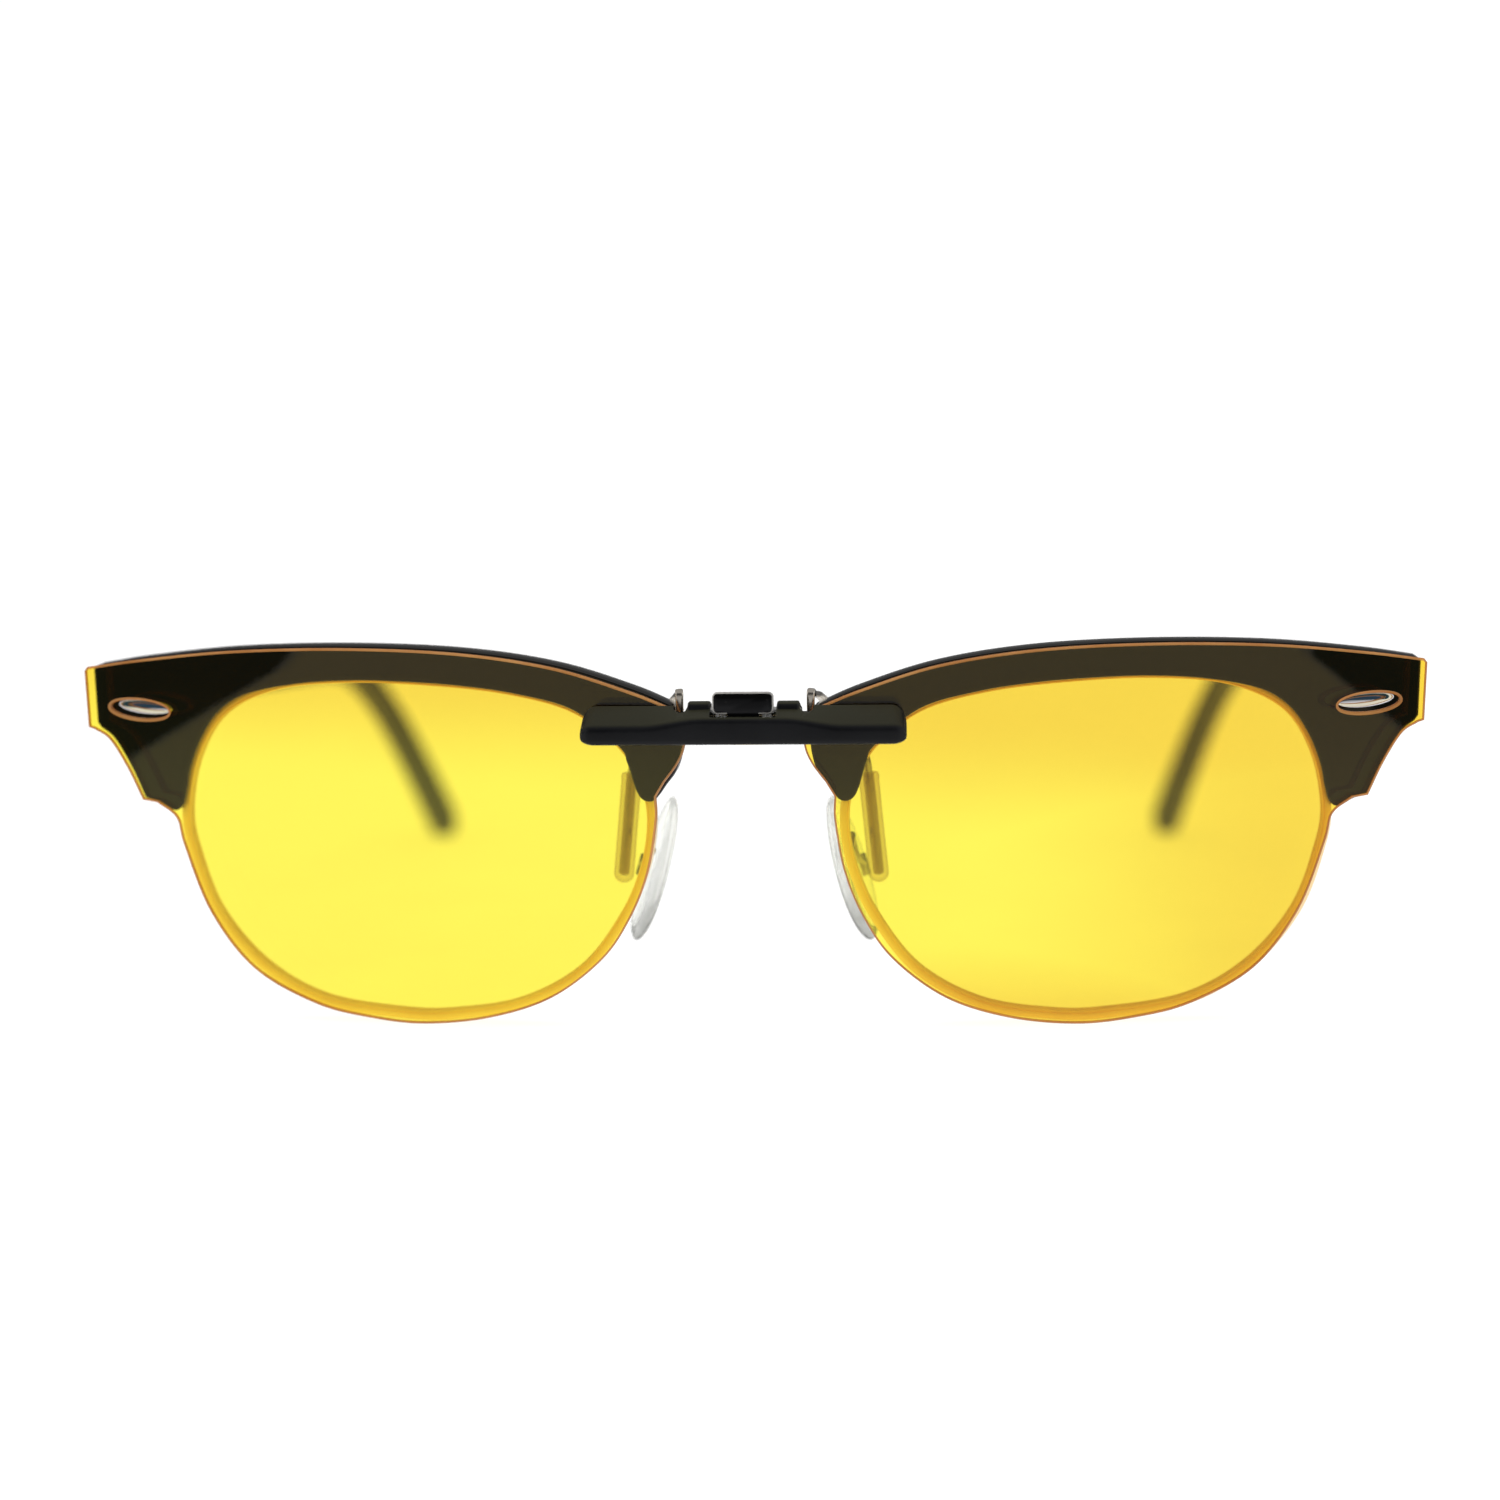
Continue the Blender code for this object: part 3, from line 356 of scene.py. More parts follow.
def make_satin_metal(name, low, high):
    """Plating with a satin face that holds light from all round."""
    material, n = new_material(name)
    lines = drawn_lines(n)
    n.solid(
        Base_Color=n.tone(n.noise(120, 3, 0.5), low, high), Metallic=0.4,
        Roughness=n.span(lines, 0.3, 0.7, 0.3, 0.45), Normal=n.bump(lines, 0.1, 0.00003),
    )
    return material


def make_blackened_steel():
    """Black-coated steel: the coat is dark and satin, with small worn specks."""
    material, n = new_material("blackened_steel")
    cloud = n.noise(260, 6, 0.7)
    wear = n.span(n.noise(1400, 5, 0.7), 0.66, 0.74, 0, 1, smooth=True)
    tone = n.mix_colour(wear, (0.010, 0.010, 0.011), (0.45, 0.43, 0.40))
    n.solid(
        Base_Color=tone, Metallic=0.85, Roughness=n.span(cloud, 0.3, 0.7, 0.08, 0.2),
        Normal=n.bump(cloud, 0.1, 0.00003),
    )
    return material


def make_silicone(name, clear_tint, milk, share, edge_share):
    """Clear soft plastic: see-through face-on, and greyer where it is looked at edge-on."""
    material, n = new_material(name)
    cloud = n.noise(420, 4, 0.55)
    clear = n.shader("ShaderNodeBsdfTransparent", Color=clear_tint)
    body = n.shader(
        "ShaderNodeBsdfPrincipled", Base_Color=milk, Roughness=n.span(cloud, 0.3, 0.7, 0.12, 0.26),
        Normal=n.bump(cloud, 0.2, 0.00005),
    )
    amount = n.span(n.facing(0.45), 0.0, 0.9, share, edge_share)
    n.surface(n.mix_shader(amount, clear, body))
    return material


def make_clear_pad():
    """Glassy soft plastic that bends the light, with faint ripples from moulding."""
    material, n = new_material("clear_pad")
    ripple = n.noise(420, 4, 0.55)
    glass = n.shader(
        "ShaderNodeBsdfPrincipled", Base_Color=(0.97, 0.98, 0.93), Transmission_Weight=1.0, IOR=1.41,
        Roughness=n.span(ripple, 0.3, 0.7, 0.0, 0.05), Normal=n.bump(ripple, 0.15, 0.00004),
    )
    clear = n.shader("ShaderNodeBsdfTransparent", Color=(0.97, 0.975, 0.95))
    n.surface(n.mix_shader(0.7, clear, glass))
    return material


def make_materials():
    """Every material by its short name."""
    return {
        "plate": make_tinted_plate(),
        "plate_edge": make_plate_edge(),
        "clear_lens": make_clear_lens(),
        "acetate": make_black_acetate(
            "black_acetate", (0.0035, 0.003, 0.0025), (0.006, 0.005, 0.004), 0.008, 0.02
        ),
        # The temples' tones are lighter than the brow's: painted sheen on the same black acetate.
        "temple": make_black_acetate(
            "temple_acetate_painted_sheen", (0.036, 0.036, 0.032), (0.052, 0.051, 0.046), 0.22, 0.34
        ),
        "moulding": make_black_moulding(),
        "steel": make_metal("bright_steel", (0.62, 0.61, 0.59), (0.78, 0.77, 0.75), 0.12, 0.30),
        "gold": make_satin_metal("pale_gold", (0.93, 0.68, 0.37), (1.0, 0.79, 0.47)),
        # The springs are near-white satin, lighter than the steel: a painted glint on the coils.
        "spring": make_satin_metal("spring_wire_painted_glint", (0.90, 0.90, 0.88), (1.0, 1.0, 0.99)),
        "wire": make_metal("drawn_wire", (0.58, 0.53, 0.45), (0.74, 0.68, 0.60), 0.12, 0.26),
        "plaque": make_metal("polished_plaque", (0.78, 0.77, 0.80), (0.9, 0.9, 0.92), 0.03, 0.10),
        "blackened": make_blackened_steel(),
        # The lever tab's bright front chamfer is a painted edge highlight in satin steel.
        "painted_edge_highlight": make_satin_metal("painted_edge_highlight", (0.34, 0.33, 0.31), (0.52, 0.50, 0.47)),
        "sleeve": make_silicone("clear_sleeve", (0.935, 0.89, 0.84), (0.55, 0.48, 0.36), 0.10, 0.42),
        "pad": make_clear_pad(),
    }


# ---- curves and solids ----------------------------------------------------------------


def spline(points, closed=False, steps=8):
    """A Catmull-Rom curve through the points, which keeps them all."""
    knots = [Vector(p) for p in points]
    if len(knots) < 3:
        return knots
    if closed:
        knots = [knots[-1], *knots, knots[0], knots[1]]
    else:
        knots = [2 * knots[0] - knots[1], *knots, 2 * knots[-1] - knots[-2]]
    curve = []
    for a, b, c, d in zip(knots, knots[1:], knots[2:], knots[3:]):
        square, cube = 2 * a - 5 * b + 4 * c - d, 3 * b - a - 3 * c + d
        for t in [k / steps for k in range(steps)]:
            curve.append(0.5 * (2 * b + (c - a) * t + square * t**2 + cube * t**3))
    return curve if closed else [*curve, knots[-2]]


def smooth_outline(stretches, steps=9):
    """One closed outline from smooth stretches that meet in corners."""
    return [point for stretch in stretches for point in spline(stretch, steps=steps)]


def outward(outline):
    """The outward direction at every point of a closed outline, longer where it mitres a corner."""
    longest = 1.5
    count = len(outline)
    area = sum(outline[i - 1].cross(outline[i]) for i in range(count))
    turn = 1 if area > 0 else -1
    found = []
    for i in range(count):
        before = (outline[i] - outline[i - 1]).normalized()
        after = (outline[(i + 1) % count] - outline[i]).normalized()
        along = (before + after).normalized()
        miter = min(1 / max(along.dot(after), 0.5), longest)
        found.append(Vector((along.y, -along.x)) * turn * miter)
    return found


def grown(outline, distance):
    """The outline moved outward by a distance."""
    return [point + way * distance for point, way in zip(outline, outward(outline))]


def ellipse(x, z, half_x, half_z, tilt=0.0, count=48):
    """An outline of points round a centre, (x, z)."""
    c, s = math.cos(tilt), math.sin(tilt)
    angles = [math.tau * k / count for k in range(count)]
    spots = [(half_x * math.cos(a), half_z * math.sin(a)) for a in angles]
    return [Vector((x + u * c - v * s, z + u * s + v * c)) for u, v in spots]


def sag(x):
    """How far back the curve of the front lies at x."""
    return x * x / (2 * FRONT_RADIUS)


def join(bm, a, b):
    """Faces between one loop of points and the next."""
    return [bm.faces.new((a[k - 1], a[k], b[k], b[k - 1])) for k in range(len(a))]


def skin(bm, rings):
    """A tube over the loops, with both ends filled."""
    for a, b in zip(rings, rings[1:]):
        join(bm, a, b)
    bm.faces.new(rings[0])
    bm.faces.new(rings[-1])


def arc(x, y, radius, start, end, steps):
    """Points of an arc round a centre, between two angles in degrees."""
    turns = [math.radians(start + (end - start) * k / steps) for k in range(steps + 1)]
    return [Vector((x + radius * math.cos(a), y + radius * math.sin(a))) for a in turns]


def quarter(steps):
    """Angles of a quarter turn, in equal steps from 0 to a right angle."""
    return [math.pi / 2 * k / steps for k in range(steps + 1)]


def smooth(mesh, sharp):
    """Smooth shading, but for edges that turn by more than the given degrees."""
    mesh.shade_smooth()
    mesh.set_sharp_from_angle(angle=math.radians(sharp))


def new_object(name, data):
    """An object linked to the scene."""
    obj = bpy.data.objects.new(name, data)
    bpy.context.scene.collection.objects.link(obj)
    return obj


def to_object(name, bm, materials, sharp=35.0):
    """Makes an object from the bmesh, still in datum millimetres until it is placed."""
    bmesh.ops.recalc_face_normals(bm, faces=bm.faces)
    if bm.calc_volume(signed=True) < 0:
        bmesh.ops.reverse_faces(bm, faces=bm.faces)
    mesh = bpy.data.meshes.new(name)
    bm.to_mesh(mesh)
    bm.free()
    smooth(mesh, sharp)
    for material in materials:
        mesh.materials.append(MATERIALS[material])
    return new_object(name, mesh)


def sheet_normal(x):
    """The direction straight back from the curve of the front at x."""
    return Vector((-x / FRONT_RADIUS, 1, 0)).normalized()


def true_the_normals(obj):
    """Gives the front and back faces of a bent sheet the exact normals of its curve."""
    mesh, flat_face = obj.data, 0.996
    normals = [corner.vector.copy() for corner in mesh.corner_normals]
    for face in mesh.polygons:
        facing = face.normal.dot(sheet_normal(face.center.x))
        if abs(facing) < flat_face:
            continue
        for corner in face.loop_indices:
            x = mesh.vertices[mesh.loops[corner].vertex_index].co.x
            normals[corner] = sheet_normal(x) * math.copysign(1, facing)
    mesh.normals_split_custom_set(normals)


def boolean(obj, tool_bm, operation="DIFFERENCE", sharp=35.0):
    """Joins or cuts with a solid given as a bmesh, and drops the tool."""
    tool = to_object("tool", tool_bm, [])
    tool.data.materials.append(obj.data.materials[0])
    modifier = obj.modifiers.new("cut", "BOOLEAN")
    modifier.solver = "MANIFOLD"
    modifier.operation = operation
    modifier.object = tool
    graph = bpy.context.evaluated_depsgraph_get()
    mesh = bpy.data.meshes.new_from_object(obj.evaluated_get(graph))
    obj.modifiers.clear()
    obj.data = mesh
    smooth(mesh, sharp)
    bpy.data.objects.remove(tool, do_unlink=True)


def place(obj, body, slot, node):
    """Brings the piece to the row frame, hangs it on its body, and hides the CAD node it stands for. The
    slot is not used.
    """
    obj.data.transform(Matrix.Translation(DATUM) @ Matrix.Scale(MM, 4))
    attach(obj, body)
    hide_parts(node)


def add_piece(name, bm, look, sharp, body, slot, node):
    """A finished piece of one material."""
    place(to_object(name, bm, [look], sharp), body, slot, node)


def sheet_bm(outline, profile, side=1, holes=(), hole_profile=None, edge_rows=None, bent=True):
    """A sheet with a shaped edge. The profile runs from the front cap to the back cap as (inset, y).

    Quads of the rows listed in edge_rows take the second material.
    """
    bm = bmesh.new()
    caps = ([], [])
    for loop, inward, rows in [(outline, -1, profile)] + [(h, 1, hole_profile or profile) for h in holes]:
        ways = outward(loop)
        rings = []
        for inset, y in rows:
            ring = []
            for point, way in zip(loop, ways):
                spot = point + way * inset * inward
                ring.append(bm.verts.new((side * spot.x, y, spot.y)))
            rings.append(ring)
        for number, (a, b) in enumerate(zip(rings, rings[1:])):
            for face in join(bm, a, b):
                face.material_index = 1 if edge_rows is None or number in edge_rows else 0
        for cap, ring in ((caps[0], rings[0]), (caps[1], rings[-1])):
            cap += [bm.edges.get((ring[k - 1], ring[k])) for k in range(len(ring))]
    for cap in caps:
        bmesh.ops.triangle_fill(bm, use_beauty=True, edges=cap)
    if bent:
        bend(bm)
    return bm


def bend(bm):
    """Cuts the sheet into upright strips and moves them back along the front's curve."""
    every = 2.0
    low = min(v.co.x for v in bm.verts)
    high = max(v.co.x for v in bm.verts)
    cuts = int((high - low) / every)
    for k in range(1, cuts + 1):
        x = low + every * (k - 0.5)
        geometry = bm.verts[:] + bm.edges[:] + bm.faces[:]
        bmesh.ops.bisect_plane(bm, geom=geometry, dist=0.0005, plane_co=(x, 0, 0), plane_no=(1, 0, 0))
    for vertex in bm.verts:
        vertex.co.y += sag(vertex.co.x)


def chamfered(front, back, front_edge, back_edge, steps):
    """An edge profile, (inset, y), with a rounded edge at each face."""
    turns = quarter(steps)
    rows = [(front_edge * (1 - math.sin(a)), front + front_edge * (1 - math.cos(a))) for a in turns]
    return rows + [(back_edge * (1 - math.cos(a)), back - back_edge * (1 - math.sin(a))) for a in turns]


def sweep_bm(path, sizes, segments, power=2.0, up=Vector((0, 0, 1))):
    """Sweeps a super-ellipse along the path; sizes are (half width, half height) at each station."""
    bm = bmesh.new()
    rings = []
    across = None
    for i, point in enumerate(path):
        ahead = path[min(i + 1, len(path) - 1)] - path[max(i - 1, 0)]
        ahead.normalize()
        if across is None:
            across = ahead.cross(up)
        across = (across - ahead * across.dot(ahead)).normalized()
        upright = across.cross(ahead)
        ring = []
        for k in range(segments):
            angle = math.tau * (k + 0.5) / segments
            c, s = math.cos(angle), math.sin(angle)
            u = math.copysign(abs(c) ** (2 / power), c) * sizes[i][0]
            v = math.copysign(abs(s) ** (2 / power), s) * sizes[i][1]
            ring.append(bm.verts.new(point + across * u + upright * v))
        rings.append(ring)
    skin(bm, rings)
    return bm


def with_round_ends(points, cap, size_at, start=True, steps=7, blunt=1.0):
    """Path and sizes with extra stations, so that the section closes in a half round at its ends.

    Without start only the far end closes. With blunt under 1 the width closes later than the height.
    """
    lengths = [0.0]
    for a, b in zip(points, points[1:]):
        lengths.append(lengths[-1] + (b - a).length)
    total, last = lengths[-1], len(points) - 2

    def at(distance):
        i = next((i for i in range(last) if distance <= lengths[i + 1]), last)
        share = (distance - lengths[i]) / (lengths[i + 1] - lengths[i])
        return points[i].lerp(points[i + 1], share)

    curve = [cap * (1 - math.cos(a)) for a in quarter(steps)]
    clear = cap * 1.05
    stations = curve if start else [0.0]
    stations = stations + [x for x in lengths if (clear if start else 0) < x < total - clear]
    stations += [total - x for x in reversed(curve)]
    path, sizes = [], []
    for distance in stations:
        near = min(distance if start else cap, total - distance)
        share = math.sqrt(max(1 - (1 - min(near / cap, 1)) ** 2, 0.0004))
        width, height = size_at(distance / total)
        path.append(at(distance))
        sizes.append((width * share**blunt, height * share))
    return path, sizes


def turned_bm(profile, matrix, segments=32):
    """Turns a (radius, y) profile, on-axis at both ends, about the y axis of a placing matrix."""
    bm = bmesh.new()
    rings = []
    for radius, y in profile:
        angles = [math.tau * k / segments for k in range(segments if radius else 1)]
        spots = [Vector((radius * math.cos(a), y, radius * math.sin(a))) for a in angles]
        rings.append([bm.verts.new(matrix @ spot) for spot in spots])
    for a, b in zip(rings, rings[1:]):
        for k in range(segments):
            corners = [ring[i % len(ring)] for ring, i in ((a, k - 1), (a, k), (b, k), (b, k - 1))]
            bm.faces.new(list(dict.fromkeys(corners)))
    return bm


def box_bm(low, high, side=1, width=0.0):
    """A box with rounded edges of a given width."""
    bm = bmesh.new()
    bmesh.ops.create_cube(bm, size=1)
    for vertex in bm.verts:
        share = vertex.co + Vector((0.5, 0.5, 0.5))
        spot = [low[i] + (high[i] - low[i]) * share[i] for i in range(3)]
        vertex.co = (side * spot[0], spot[1], spot[2])
    if width:
        bmesh.ops.bevel(bm, geom=bm.edges[:], offset=width, segments=3, affect="EDGES", profile=0.5)
    return bm


# Turns that bring the y axis onto each axis.
AXIS_TURNS = {
    "x": Matrix.Rotation(math.pi / 2, 4, "Z"),
    "y": Matrix.Identity(4),
    "z": Matrix.Rotation(math.pi / 2, 4, "X"),
}


def cylinder_bm(centre, radius, length, axis, segments=32, edge=0.0):
    """A cylinder along an axis, chamfered round both ends where edge is given."""
    half = length / 2
    corner = [(radius - edge, half), (radius, half - edge)] if edge else [(radius, half)]
    profile = [(0, -half)] + [(out, -y) for out, y in corner] + corner[::-1] + [(0, half)]
    return turned_bm(profile, Matrix.Translation(centre) @ AXIS_TURNS[axis], segments)


def slab_bm(section, low, high, edge=0.0):
    """A slab with a (y, z) section between two x places, its ends narrowed by a share of the section."""
    low, high = sorted((low, high))
    centre = sum((Vector(p) for p in section), Vector((0, 0))) / len(section)
    spans = [(low, 1.0), (high, 1.0)]
    if edge:
        spans = [(low, 1 - edge), (low + edge, 1.0), (high - edge, 1.0), (high, 1 - edge)]
    bm = bmesh.new()
    rings = []
    for x, share in spans:
        corners = [centre + (Vector(point) - centre) * share for point in section]
        rings.append([bm.verts.new((x, corner.x, corner.y)) for corner in corners])
    skin(bm, rings)
    return bm


# ---- the clip-on ----------------------------------------------------------------------


def ridge_height(x):
    """The height of the bar's front ridge, which swells over the middle of the bar."""
    share = min(max((abs(x) - WAVE_START) / (WAVE_END - WAVE_START), 0), 1)
    return BAR_RIDGE + BAR_WAVE * (0.5 + 0.5 * math.cos(math.pi * share))


def bar_section(x):
    """The bar's section at x, as a closed (y, z) loop: front face, ridge, sloping top, back."""
    rounding, setback, pinch, lip = 1.55, 0.75, 0.28, 0.55
    inset = BAR_HALF - abs(x)
    share = math.sqrt(max(1 - (1 - min(inset / rounding, 1)) ** 2, 0.0))
    ridge = ridge_height(x)
    middle = (BAR_BOTTOM + ridge) / 2
    front = BAR_FRONT + setback * (1 - share)
    corners = [(BAR_WING_BACK, BAR_BOTTOM), (front, BAR_BOTTOM), (front, ridge), (BAR_WING_BACK, BAR_CREST)]
    widths = (0.12, lip, lip, 0.15)
    loop = []
    for i, (corner, width) in enumerate(zip(corners, widths)):
        here = Vector(corner)
        before = (Vector(corners[i - 1]) - here).normalized()
        after = (Vector(corners[(i + 1) % 4]) - here).normalized()
        for k in range(7):
            t = k / 6
            a, b = here + before * width, here + after * width
            loop.append(a * (1 - t) ** 2 + here * 2 * t * (1 - t) + b * t**2)
    squeeze = pinch + (1 - pinch) * share
    return [Vector((p.x, middle + (p.y - middle) * squeeze)) for p in loop]


def make_bar():
    """The moulded bar, with its deeper middle, pin lugs, hub slot and bores."""
    bm = bmesh.new()
    cap, strips, lug_foot, corner = 1.6, 40, 12.2, 0.4
    ends = [cap * (1 - math.cos(a)) for a in quarter(8)]
    stations = [x - BAR_HALF for x in ends]
    stations += [cap - BAR_HALF + 2 * (BAR_HALF - cap) * k / strips for k in range(1, strips + 1)]
    stations += [BAR_HALF - x for x in reversed(ends[:-1])]
    skin(bm, [[bm.verts.new((x, p.x, p.y)) for p in bar_section(x)] for x in stations])
    bar = to_object("bar", bm, ["moulding"])

    front, shoulder, back, foot = -7.2, 12.5, BAR_BODY_BACK, BAR_BOTTOM + 0.02
    section = [
        (front, foot), (front, shoulder), (BAR_WING_BACK, BAR_CREST - 0.02), (back - 0.3, BAR_CREST),
        (back, BAR_CREST - 0.3), (back, BAR_BOTTOM + 0.4), (back - 0.4, foot),
    ]
    boolean(bar, slab_bm(section, -BAR_BODY_HALF, BAR_BODY_HALF), "UNION")
    for side in (-1, 1):
        outline = [
            (PIN_Y - 1.5, lug_foot), *arc(PIN_Y - 0.75, LUG_TOP - corner, corner, 180, 90, 3),
            *arc(PIN_Y + 0.75, LUG_TOP - corner, corner, 90, 0, 3), (PIN_Y + 1.3, lug_foot),
        ]
        boolean(bar, slab_bm(outline, side * LUG_INNER, side * LUG_OUTER, edge=0.14), "UNION")
    boolean(bar, box_bm((0.05 - LUG_INNER, SLOT_FRONT, PIN_Z - 1.6), (LUG_INNER - 0.05, 0, 20), 1, 0.15))
    for side in (-1, 1):
        notch = cylinder_bm((side * NOTCH_X, BAR_WING_BACK + 1.6, BAR_CREST), NOTCH_RADIUS, 7.0, "y", 40)
        boolean(bar, notch)
    boolean(bar, cylinder_bm((0, PIN_Y, PIN_Z), PIN_RADIUS + 0.12, 2 * LUG_OUTER + 3, "x"))
    bore_middle, bore_length = -5.3, 4.2
    for side in (-1, 1):
        for x, z in RIVETS:
            bore = cylinder_bm((side * x, bore_middle, z), RIVET_SHANK + 0.05, bore_length, "y")
            boolean(bar, bore)
    place(bar, "clip_on", "black_moulding", "clip_bar")


def make_plate(side_name, side):
    """A tinted plate, with its slot over the plaque and two bores for the rivets."""
    slot = ellipse(PLAQUE_X, PLAQUE_Z, *CUTOUT_HALF, tilt=PLAQUE_TILT)
    bores = [ellipse(x, z, RIVET_SHANK + 0.1, RIVET_SHANK + 0.1, count=24) for x, z in RIVETS]
    profile = chamfered(PLATE_FRONT, PLATE_BACK, 0.22, 0.12, steps=2)
    hole_profile = chamfered(PLATE_FRONT, PLATE_BACK, 0.3, 0.12, steps=3)
    bm = sheet_bm(smooth_outline(PLATE_OUTLINE), profile, side, [slot] + bores, hole_profile)
    plate = to_object(f"tinted_plate_{side_name}", bm, ["plate", "plate_edge"], sharp=30)
    true_the_normals(plate)
    place(plate, "clip_on", "yellow_lens", f"lens_plate_{side_name}")


def make_rivets(side_name, side):
    """Two rivets, each a domed head on the plate's back and a shank in the bar."""
    shank_end, lip, rise = -7.1, 0.12, 0.45
    for number, (x, z) in enumerate(RIVETS, 1):
        back = PLATE_BACK + sag(x) + 0.02
        dome = [(RIVET_HEAD * math.sin(a), back + lip + rise * math.cos(a)) for a in quarter(6)[1:]]
        profile = [(0.0, back + lip + rise)] + dome + [
            (RIVET_HEAD, back), (RIVET_SHANK, back), (RIVET_SHANK, shank_end), (0.0, shank_end)
        ]
        bm = turned_bm(profile, Matrix.Translation((side * x, 0, z)))
        ending = f"{side_name}_{number}"
        add_piece(f"rivet_{ending}", bm, "steel", 35, "clip_on", "steel", f"lens_rivet_{ending}")


def rounded_rectangle(half, low, high, corner):
    """An outline with round corners, (x, z), from the upper right corner on."""
    x, top, foot = half - corner, high - corner, low + corner
    centres = ((x, top), (-x, top), (-x, foot), (x, foot))
    return [p for i, spot in enumerate(centres) for p in arc(*spot, corner, 90 * i, 90 * i + 90, 6)]


def make_lever():
    """The black lever: hub, rounded tab with a painted edge highlight on its front chamfer, and the web to
    the arms.
    """
    tab_back = PIN_Y - HUB_RADIUS - 0.1
    outline = rounded_rectangle(TAB_HALF, TAB_BOTTOM, TAB_TOP, 0.55)
    profile = chamfered(tab_back - TAB_THICK, tab_back, 0.14, 0.1, steps=2)
    # The front chamfer rows take the painted edge highlight.
    bm = sheet_bm(outline, profile, edge_rows=(0, 1), bent=False)
    lever = to_object("lever", bm, ["blackened", "painted_edge_highlight"], sharp=30)
    boolean(lever, cylinder_bm((0, PIN_Y, PIN_Z), HUB_RADIUS, 2 * HUB_HALF, "x", 40, 0.12), "UNION")
    skirt = box_bm((-HUB_HALF, tab_back - TAB_THICK, SKIRT_BOTTOM), (HUB_HALF, tab_back, TAB_BOTTOM + 0.3))
    boolean(lever, skirt, "UNION", sharp=30)
    width, reach = HUB_HALF - 0.1, ARM_X + 0.6
    neck = box_bm((-width, tab_back - 0.2, TAB_BOTTOM + 0.1), (width, PIN_Y, TAB_BOTTOM + 0.7))
    boolean(lever, neck, "UNION")
    boolean(lever, box_bm((-width, PIN_Y, WEB_BOTTOM), (width, WEB_BACK - 0.2, WEB_TOP), 1, 0.1), "UNION")
    boolean(lever, box_bm((-reach, WEB_FRONT, WEB_BOTTOM), (reach, WEB_BACK, WEB_TOP), 1, 0.12), "UNION")
    boolean(lever, cylinder_bm((0, PIN_Y, PIN_Z), PIN_RADIUS + 0.1, 2 * HUB_HALF + 2, "x"), sharp=30)
    place(lever, "clip_prongs", "dark_steel", "clip_lever")


def make_pin():
    """The hinge pin, its ends slightly domed."""
    half, radius = LUG_OUTER + 0.25, PIN_RADIUS
    end = [(0, half + 0.05), (radius * 0.6, half), (radius, half - 0.18)]
    profile = end + [(out, -x) for out, x in reversed(end)]
    bm = turned_bm(profile, Matrix.Translation((0, PIN_Y, PIN_Z)) @ AXIS_TURNS["x"])
    add_piece("pin", bm, "steel", 35, "clip_on", "steel", "clip_hinge_pin")


def make_spring(side_name, side):
    """A torsion spring: coils round the pin, one leg up the tab's back, one on the slot's floor."""
    wire, coil, turns, per_turn, pitch = 0.16, 0.86, 2.75, 28, 0.37
    start = HUB_HALF + 0.38
    path = [Vector((side * start, PIN_Y - 1.75, PIN_Z - coil + 0.03)),
            Vector((side * start, PIN_Y - 0.9, PIN_Z - coil))]
    for k in range(int(turns * per_turn) + 1):
        angle = -math.pi / 2 + math.tau * k / per_turn
        path.append(Vector((
            side * (start + pitch * k / per_turn),
            PIN_Y + coil * math.cos(angle), PIN_Z + coil * math.sin(angle),
        )))
    last = path[-1]
    path += [last + Vector((0, -0.12, 0.3)), last + Vector((0, -0.2, 0.8))]
    bm = sweep_bm(path, [(wire, wire)] * len(path), 12, up=Vector((1, 0, 0)))
    add_piece(f"spring_{side_name}", bm, "spring", 60, "clip_on", "steel", f"torsion_spring_{side_name}")


def arm_size(share):
    """The arm starts as a strip at the web and ends as a round wire."""
    return 0.42, 0.25 + 0.17 * min(share / 0.4, 1)


def make_arm(side_name, side):
    """A steel strip: up from the web, over the bridge, and down as the wire inside the sleeve."""
    middle = (WEB_FRONT + WEB_BACK) / 2
    points = (
        (ARM_X, middle, WEB_TOP + 0.02), (ARM_X, middle, ARM_TOP - 0.5),
        (6.82, middle + 0.2, ARM_TOP - 0.22), (6.86, middle + 0.55, ARM_TOP - 0.14),
        (6.95, -1.6, 14.5), (7.1, 0.4, 14.15), (7.35, 2.1, 13.95),
        (7.9, 3.3, 13.3), (8.8, ARM_BACK, 12.3), (10.0, ARM_BACK, 11.0), (11.2, ARM_BACK, 9.5),
        (12.1, ARM_BACK, 7.4), (12.55, ARM_BACK, 5.0), (13.03, ARM_BACK, 0.0), (13.55, ARM_BACK, -5.4),
    )
    path = [Vector((side * x, y, z)) for x, y, z in spline(points, steps=7)]
    path, sizes = with_round_ends(path, 0.35, arm_size, start=False)
    bm = sweep_bm(path, sizes, 28, power=3.6, up=Vector((0, 1, 0)))
    add_piece(f"arm_{side_name}", bm, "wire", 50, "clip_prongs", "dark_steel", f"prong_arm_{side_name}")


